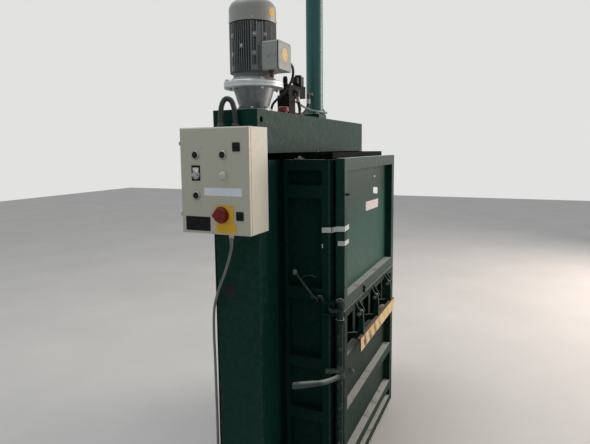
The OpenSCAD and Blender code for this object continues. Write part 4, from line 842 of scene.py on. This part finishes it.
# Torsion springs of the dogs
SPRING_R, SPRING_PITCH, SPRING_TURNS = 7.7, 3.4, 4
springs = bmesh.new()
for x in DOG_PLACES:
    at = Vector((x + 6.7, -388, 834))
    coil = [at + Vector((a / 360 * SPRING_PITCH, SPRING_R * cos(radians(a)),
                         SPRING_R * sin(radians(a))))
            for a in range(0, SPRING_TURNS * 360 + 1, 18)]
    ends = [at + Vector((side, SPRING_R, z)) for side, z in ((0, -26), (0, -12), (13.6, 8), (13.6, 16))]
    swept(springs, ends[:2] + coil + ends[2:], 1.4, 8)
wires = piece("retainer_spring_wires", springs, "lower_door", "bare_steel", "pump_iron", smooth=50)
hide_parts("retainer_springs")


# -------- power unit
def outward(degrees):
    return (cos(radians(degrees)), sin(radians(degrees)), 0)


def around(centre, r, degrees, z):
    x, y, _ = outward(degrees)
    return (centre[0] + r * x, centre[1] + r * y, z)


MOTOR = (MOTOR_X, 0)
QUARTERS = (0, 90, 180, 270)
bolts = bmesh.new()
for a in range(45, 360, 90):
    hex_bolt(bolts, around(MOTOR, 114.5, a, MOTOR_Z + 12), UP, 13, 7)
    hex_bolt(bolts, around(MOTOR, 104, a, MOTOR_Z - 14), DOWN, 13, 7)
for a in range(20, 380, 60):
    socket_screw(bolts, around(MOTOR, 68.5, a, BEAM_TOP + 12), UP, 5, 7)
for x in (-46, 46):
    for y in (-88, -22):
        socket_screw(bolts, (x, y, BARREL_Z), UP, 8, 11)
for x, z in ((-318, 1885), (-138, 1891)):
    for y in (-47, -13):
        socket_screw(bolts, (x, y, z), UP, 3.6, 4.5)
trim("power_unit_bolts", bolts)

screws = bmesh.new()
for a in QUARTERS:
    for s in (-31, 31):
        for share in (0.3, 0.67):
            z = FINS_Z + FINS_H * (share + 0.05)
            pan_screw(screws, around(MOTOR, MOTOR_R - 2, a + s, z), outward(a + s), 4.6, 3)
    if a != 270:
        pan_screw(screws, around(MOTOR, MOTOR_R + 1, a, FINS_Z + FINS_H * 0.45 + 9), outward(a), 5, 3.4)
for a in (28, 118, 208, 298):
    pan_screw(screws, around(MOTOR, MOTOR_R, a, COWL_Z + 9), outward(a), 4, 2.6)
trim("motor_screws", screws)


def motor_slab(bm, low, high, bevel, segments, degrees):
    """Slab beside the motor's axis, turned about it."""
    start = len(bm.verts)
    slab(bm, low, high, bevel, segments)
    bm.verts.ensure_lookup_table()
    turn = Matrix.Translation(Vector((MOTOR_X, 0, 0)) * MM) @ Matrix.Rotation(radians(degrees), 4, "Z")
    bmesh.ops.transform(bm, matrix=turn, verts=bm.verts[start:])


# Rails, pads and corner blocks in the lighter paint, painted light on the lit fin faces; dark slabs in the
# recesses between them, painted shade
ladders, recess_shades = bmesh.new(), bmesh.new()
for a in QUARTERS:
    for s in (-31, 31):
        for y in (-10.5, 10.5):
            motor_slab(ladders, (80, y - 2.6, FINS_Z + 1), (MOTOR_R - 2.2, y + 2.6, FINS_Z + 194),
                       0.8, 1, a + s)
        for share in (0.02, 0.3, 0.67):
            motor_slab(ladders, (84, -9, FINS_Z + FINS_H * share - 0.5),
                       (MOTOR_R - 1.6, 9, FINS_Z + FINS_H * (share + 0.1) + 0.5), 1, 2, a + s)
        motor_slab(recess_shades, (80, -9, FINS_Z + 1), (87.6, 9, FINS_Z + 193), 0.4, 1, a + s)
for a in range(45, 360, 90):
    motor_slab(ladders, (78, -10, FINS_Z + 1), (88.5, 10, FINS_Z + 194), 2, 2, a)
piece("motor_ladders", ladders, "frame", "motor_paint", "motor_light")
piece("motor_recess_shades", recess_shades, "frame", "motor_paint", "dark_iron")

GAP_IN, GAP_OUT = MOTOR_R - 8, MOTOR_R - 5.6
piece("cowl_gap_ring", made(turned, [
    (GAP_IN, 0), (GAP_OUT, 0.3), (GAP_OUT, 4.6), (GAP_IN, 4.9), (GAP_IN, 0)],
    (MOTOR_X, 0, COWL_Z - 5), UP, 64), "frame", "black_plastic", smooth=40)

# Terminal box
trim("terminal_box_screws", each(pan_screw, [
    ((x, BOX_LID_Y, z), FRONT, 3.6, 2.4) for x in (-637, -532) for z in (1908.5, 2003.5)]))
piece("terminal_box_seal", made(
    plate_on, (-584.5, BOX_LID_Y + 4.4, 1956), FRONT, UP, 123, 113, 1.8, 7.5, 6), "frame", "black_plastic")
KNOCKOUT = [(0, 0), (8.5, 0), (8.5, 0.7), (7.4, 1.2), (5.4, 0.8), (4.8, 1.6), (0, 1.8)]
piece("terminal_box_knockouts", each(turned, [
    (KNOCKOUT, (BOX_SIDE_X, y, 1958), LEFT, 24) for y in (-117, -143)]), "frame", "grey_plastic", smooth=40)
OVAL_AT, OVAL_SIZE = (-585, BOX_LID_Y, 1962), (26, 18, 27)
oval = made(turned, [(0, 0), (1, 0), (1, 0.02), (0, 0.02)], (0, 0, 0), FRONT, 40)
for v in oval.verts:
    v.co = Vector([at * MM + c * size for at, c, size in zip(OVAL_AT, v.co, OVAL_SIZE)])
piece("terminal_box_oval", oval, "frame", "label_film", "film_pale_yellow")

# Round spot on the fan cowl: two curved sheets, joined along their rims
SPOT_Z, SPOT_R, SPOT_TURN, SPOT_DEGREES, SPOT_ROWS = 2137, 19, -98, 11, 6
spot = bmesh.new()
rims = []
for lift in (-0.1, 0.4):
    rows = []
    for i in range(1, 2 * SPOT_ROWS):
        h = -1 + i / SPOT_ROWS
        half = sqrt(1 - h * h)
        rows.append([spot.verts.new(MM * Vector(around(
            MOTOR, MOTOR_R + lift, SPOT_TURN + SPOT_DEGREES * half * s, SPOT_Z + SPOT_R * h)))
            for s in (-1, -0.5, 0, 0.5, 1)])
    for a, b in zip(rows, rows[1:]):
        for i in range(4):
            spot.faces.new((a[i], a[i + 1], b[i + 1], b[i]))
    rims.append(rows[0] + [row[-1] for row in rows[1:]] + rows[-1][-2::-1]
                + [row[0] for row in rows[-2:0:-1]])
skin(spot, *rims)
piece("cowl_spot", spot, "frame", "label_film", "film_yellow", smooth=60)

# Weld beads of the beam, the barrel's foot, the keepers and the latch's bearings
welds = bmesh.new()
for x0, x1 in ((-BEAM_OUT, -656), (656, BEAM_OUT)):
    for y in (-100, 100):
        weld(welds, (x0, y, BEAM_Z), (x1, y, BEAM_Z))
weld(welds, (-BEAM_OUT, -99, BEAM_Z), (-BEAM_OUT, 99, BEAM_Z))
rim = [Vector(around((0, RAM_Y), BARREL_R + 1, a, BARREL_Z + 0.6)) for a in range(0, 361, 4)]
swept(welds, rim, [3 + 0.7 * sin(k * 2.1) for k in range(len(rim))], 8)
for z in (196, 914):
    for s in (-25, 25):
        weld(welds, (POST_SIDE - 0.6, -321, z + s), (POST_SIDE - 0.6, -296, z + s), 2.4)
piece("weld_beads", welds, "frame", "green_paint", smooth=60)
piece("bearing_welds", each(weld, [
    ((DOOR_SIDE - 0.5, y, z), (DOOR_SIDE - 0.5, y, z + 15), 2.2)
    for z in (240, 855) for y in (LATCH_Y - 6, LATCH_Y + 6)]), "lower_door", "green_paint", smooth=60)

# Washer, nut and thread on the latch shaft's top
SHAFT_END = (LATCH_X, LATCH_Y, SHAFT_TOP)
piece("latch_top_nut", each(turned, [
    ([(0, 0), (19, 0), (19, 2.4), (0, 2.4)], SHAFT_END, UP, 32),
    ([(0, 2.4), (13.8, 2.4), (13.8, 6), (12.6, 7.4), (0, 7.4)], SHAFT_END, UP, 6, 0.4),
    ([(0, 7.4), (7, 7.4), (7, 9), (6.2, 9.8), (0, 9.8)], SHAFT_END, UP, 20)]),
    "latch", "bare_steel", "dark_iron", smooth=30)


# -------- cabinet
SEAL_FRONT, SEAL_BACK, RIM, SEAL_IN, CORNER = -849.4, -847.6, 1.2, 8, 8.1
piece("cabinet_seal", each(slab, [
    ((SEAL_FRONT, y0, z0), (SEAL_BACK, y1, z1), 0.5, 1) for y0, z0, y1, z1 in (
        (CAB_RIGHT + RIM, CAB_LOW + RIM, CAB_RIGHT + SEAL_IN, CAB_TOP - RIM),
        (CAB_LEFT - SEAL_IN, CAB_LOW + RIM, CAB_LEFT - RIM, CAB_TOP - RIM),
        (CAB_RIGHT + CORNER, CAB_LOW + RIM, CAB_LEFT - CORNER, CAB_LOW + SEAL_IN),
        (CAB_RIGHT + CORNER, CAB_TOP - SEAL_IN, CAB_LEFT - CORNER, CAB_TOP - RIM))]),
    "cabinet_door", "hose_rubber")

locks = bmesh.new()
for y, z in ((-91.5, 1598), (-101.5, 1345)):
    plate_on(locks, (CAB_FRONT, y, z), LEFT, UP, 31, 33, 2.4, 3)
    turned(locks, [(0, 2), (11, 2), (11, 4.2), (10, 5), (8.4, 5), (8.2, 3), (0, 3)],
           (CAB_FRONT, y, z), LEFT, 28)
    slab(locks, (CAB_FRONT - 4.6, y - 1.6, z - 7), (CAB_FRONT - 2.6, y + 1.6, z + 7), 0.5, 1)
piece("cabinet_locks", locks, "cabinet_door", "black_plastic", smooth=30)
label("selector_legend", "cabinet_door", "white", (CAB_FRONT - 1.5, 86, 1516), LEFT, UP, 26, 13, 0.7, 1.5)
RIVET = [(0, -0.2), (2.4, -0.2), (2.2, 0.8), (1.2, 1.4), (0, 1.5)]
trim("cabinet_rivets", each(turned, [
    (RIVET, (CAB_FRONT, y, z), LEFT, 12) for y, z in ((124, 1570), (60, 1596), (25, 1573), (-27.5, 1448))]),
    "cabinet_door", 60)
trim("switch_plate_screws", each(pan_screw, [
    ((CAB_FRONT - 2, y, z), LEFT, 2.4, 1.4) for y in (-66, -10) for z in (1321.95, 1378.05)]),
    "cabinet_door", 40)
RING = [(12.4, 4.6), (16.2, 3), (16.2, 4.6), (14.6, 6.2), (12.8, 6.2), (12.4, 5.6), (12.4, 4.6)]
trim("bezel_rings", each(turned, [
    (RING, (CAB_FRONT, y, z), LEFT, 40) for y, z in ((86, 1570), (-34, 1570), (86, 1417), (86, 1495))]),
    "cabinet_door", 50)
piece("selector_mark", made(slab, (CAB_FRONT - 13.6, 85, 1496), (CAB_FRONT - 12.9, 87, 1505), 0.2, 1),
      "selector_switch", "label_film", "film_white")

# Rail, contactors and terminals inside the cabinet
trim("cabinet_rail", each(slab, [
    ((x0, -100, z0), (x1, 116, z1), bevel, 1) for x0, x1, z0, z1, bevel in (
        (-739.5, -732, 1430, 1437, 0.5), (-739.5, -732, 1458, 1465, 0.5), (-735, -733, 1430, 1465, 0.3))]),
    smooth=None)

GEAR_X, GEAR_Z = -739.6, 1447.5
contactors, gear_screws, terminals = bmesh.new(), bmesh.new(), bmesh.new()
for y in (-78, -31, 16):
    for x0, x1, wide, high, bevel in ((30, 0, 22, 38, 1.2), (44, 29, 22, 22, 1.2), (46, 43, 9, 8, 0.8)):
        slab(contactors, (GEAR_X - x0, y - wide, GEAR_Z - high),
             (GEAR_X - x1, y + wide, GEAR_Z + high), bevel)
    for dy in (-15, -5, 5, 15):
        for dz in (-30, 30):
            pan_screw(gear_screws, (GEAR_X - 30, y + dy, GEAR_Z + dz), LEFT, 3.2, 1.8)
for k in range(10):
    y = 44 + 6.4 * k
    for x0, x1, high in ((32, 0, 20), (38, 31, 9)):
        slab(terminals, (GEAR_X - x0, y, GEAR_Z - high), (GEAR_X - x1, y + 5.8, GEAR_Z + high), 0.8, 1)
    for dz in (-15, 15):
        pan_screw(gear_screws, (GEAR_X - 32, y + 2.9, GEAR_Z + dz), LEFT, 1.9, 0.8)
piece("cabinet_contactors", contactors, "frame", "black_plastic")
piece("cabinet_terminals", terminals, "frame", "grey_plastic")
trim("cabinet_gear_screws", gear_screws, smooth=40)


# -------- door and wall details
piece("joint_lip", made(slab, (-152, DOOR_FRONT - 3.5, 895.6), (450, DOOR_FRONT, 903), 0.8, 1),
      "upper_door", "green_paint", "lever_paint")
tab = made(slab, (-170, DOOR_FRONT - 6, 896), (-156, DOOR_FRONT, 931), 1.2)
turned(tab, [(0, 0), (3.4, 0), (3.2, 1.4), (2, 2), (0, 2)], (-163, DOOR_FRONT - 6, 922), FRONT, 14)
piece("sill_tab", tab, "upper_door", "bare_steel", "dark_iron", smooth=30)
piece("door_peg", made(
    turned, [(0, -1), (5, -1), (5, 12), (4, 14), (0, 14)], (-440, DOOR_FRONT, 1396), FRONT, 20),
    "upper_door", "bare_steel", "dark_iron", smooth=30)
lug = made(slab, (-486, -186, WALL_TOP), (-450, -150, WALL_TOP + 6), 1)
hex_bolt(lug, (-468, -168, WALL_TOP + 6), UP, 13, 7)
piece("wall_lug", lug, "frame", "bare_steel", smooth=30)
wire_line = evenly(route((-503, -184, 1018), (-504, -194, 1034), (-505, -210, 1045), (-505, -232, 1049),
                         (-504, -254, 1043)), 3)
piece("catch_wire", made(swept, wire_line, 1.2, 8), "catch", "bare_steel", "catch_paint", smooth=60)


# -------- floor and light
FLOOR_COLOURS = (214, 212, 208), (222, 220, 216)
# Colour and strength of the light from all around, and of the room that is seen
WORLD_LIGHT, SEEN_LIGHT = ((236, 240, 244), 0.44), ((226, 226, 224), 1.0)
# Name, place, aim, size, power and colour
LAMPS = [
    ("key", (3.9, -4.4, 2.4), (0, 0, 1.0), 4.0, 280, (1.0, 0.85, 0.77)),
    ("top", (-1.0, 1.2, 6.0), (0, 0, 1.0), 3.0, 90, (0.95, 0.98, 1.0)),
]


def make_floor():
    g = Graph("floor_pale", 0.75)
    data = bpy.data.meshes.new("floor")
    bm = bmesh.new()
    bmesh.ops.create_grid(bm, x_segments=1, y_segments=1, size=14)
    bm.to_mesh(data)
    bm.free()
    data.materials.append(g.finish(g.mix(g.between(g.noise(1.2, 3), 0.3, 0.7), *FLOOR_COLOURS)))
    floor = add("floor", data)
    floor.location.z = -0.0005


def make_world():
    """Soft light from all around; a plain pale room where it is seen, reflected or looked through."""
    world = bpy.data.worlds.new("studio")
    world.use_nodes = True
    nodes, links = world.node_tree.nodes, world.node_tree.links
    nodes.clear()
    out = nodes.new("ShaderNodeOutputWorld")
    mixed = nodes.new("ShaderNodeMixShader")
    rays = nodes.new("ShaderNodeLightPath").outputs
    share = rays["Is Camera Ray"]
    for ray in ("Is Glossy Ray", "Is Transmission Ray"):
        either = nodes.new("ShaderNodeMath")
        either.operation = "MAXIMUM"
        links.new(share, either.inputs[0])
        links.new(rays[ray], either.inputs[1])
        share = either.outputs[0]
    links.new(share, mixed.inputs[0])
    for i, (colour, strength) in enumerate((WORLD_LIGHT, SEEN_LIGHT)):
        back = nodes.new("ShaderNodeBackground")
        back.inputs[0].default_value = srgb(*colour)
        back.inputs[1].default_value = strength
        links.new(back.outputs[0], mixed.inputs[1 + i])
    links.new(mixed.outputs[0], out.inputs[0])
    SCENE.world = world


def make_lamps():
    for name, at, to, size, power, colour in LAMPS:
        data = bpy.data.lights.new(name, "AREA")
        data.shape = "DISK"
        data.size = size
        data.energy = power
        data.color = colour
        lamp = add(name, data)
        lamp.location = at
        lamp.rotation_mode = "QUATERNION"
        lamp.rotation_quaternion = (Vector(to) - Vector(at)).to_track_quat("-Z", "Y")
        lamp.visible_camera = False


make_floor()
make_world()
make_lamps()
SCENE.view_settings.view_transform = "Standard"
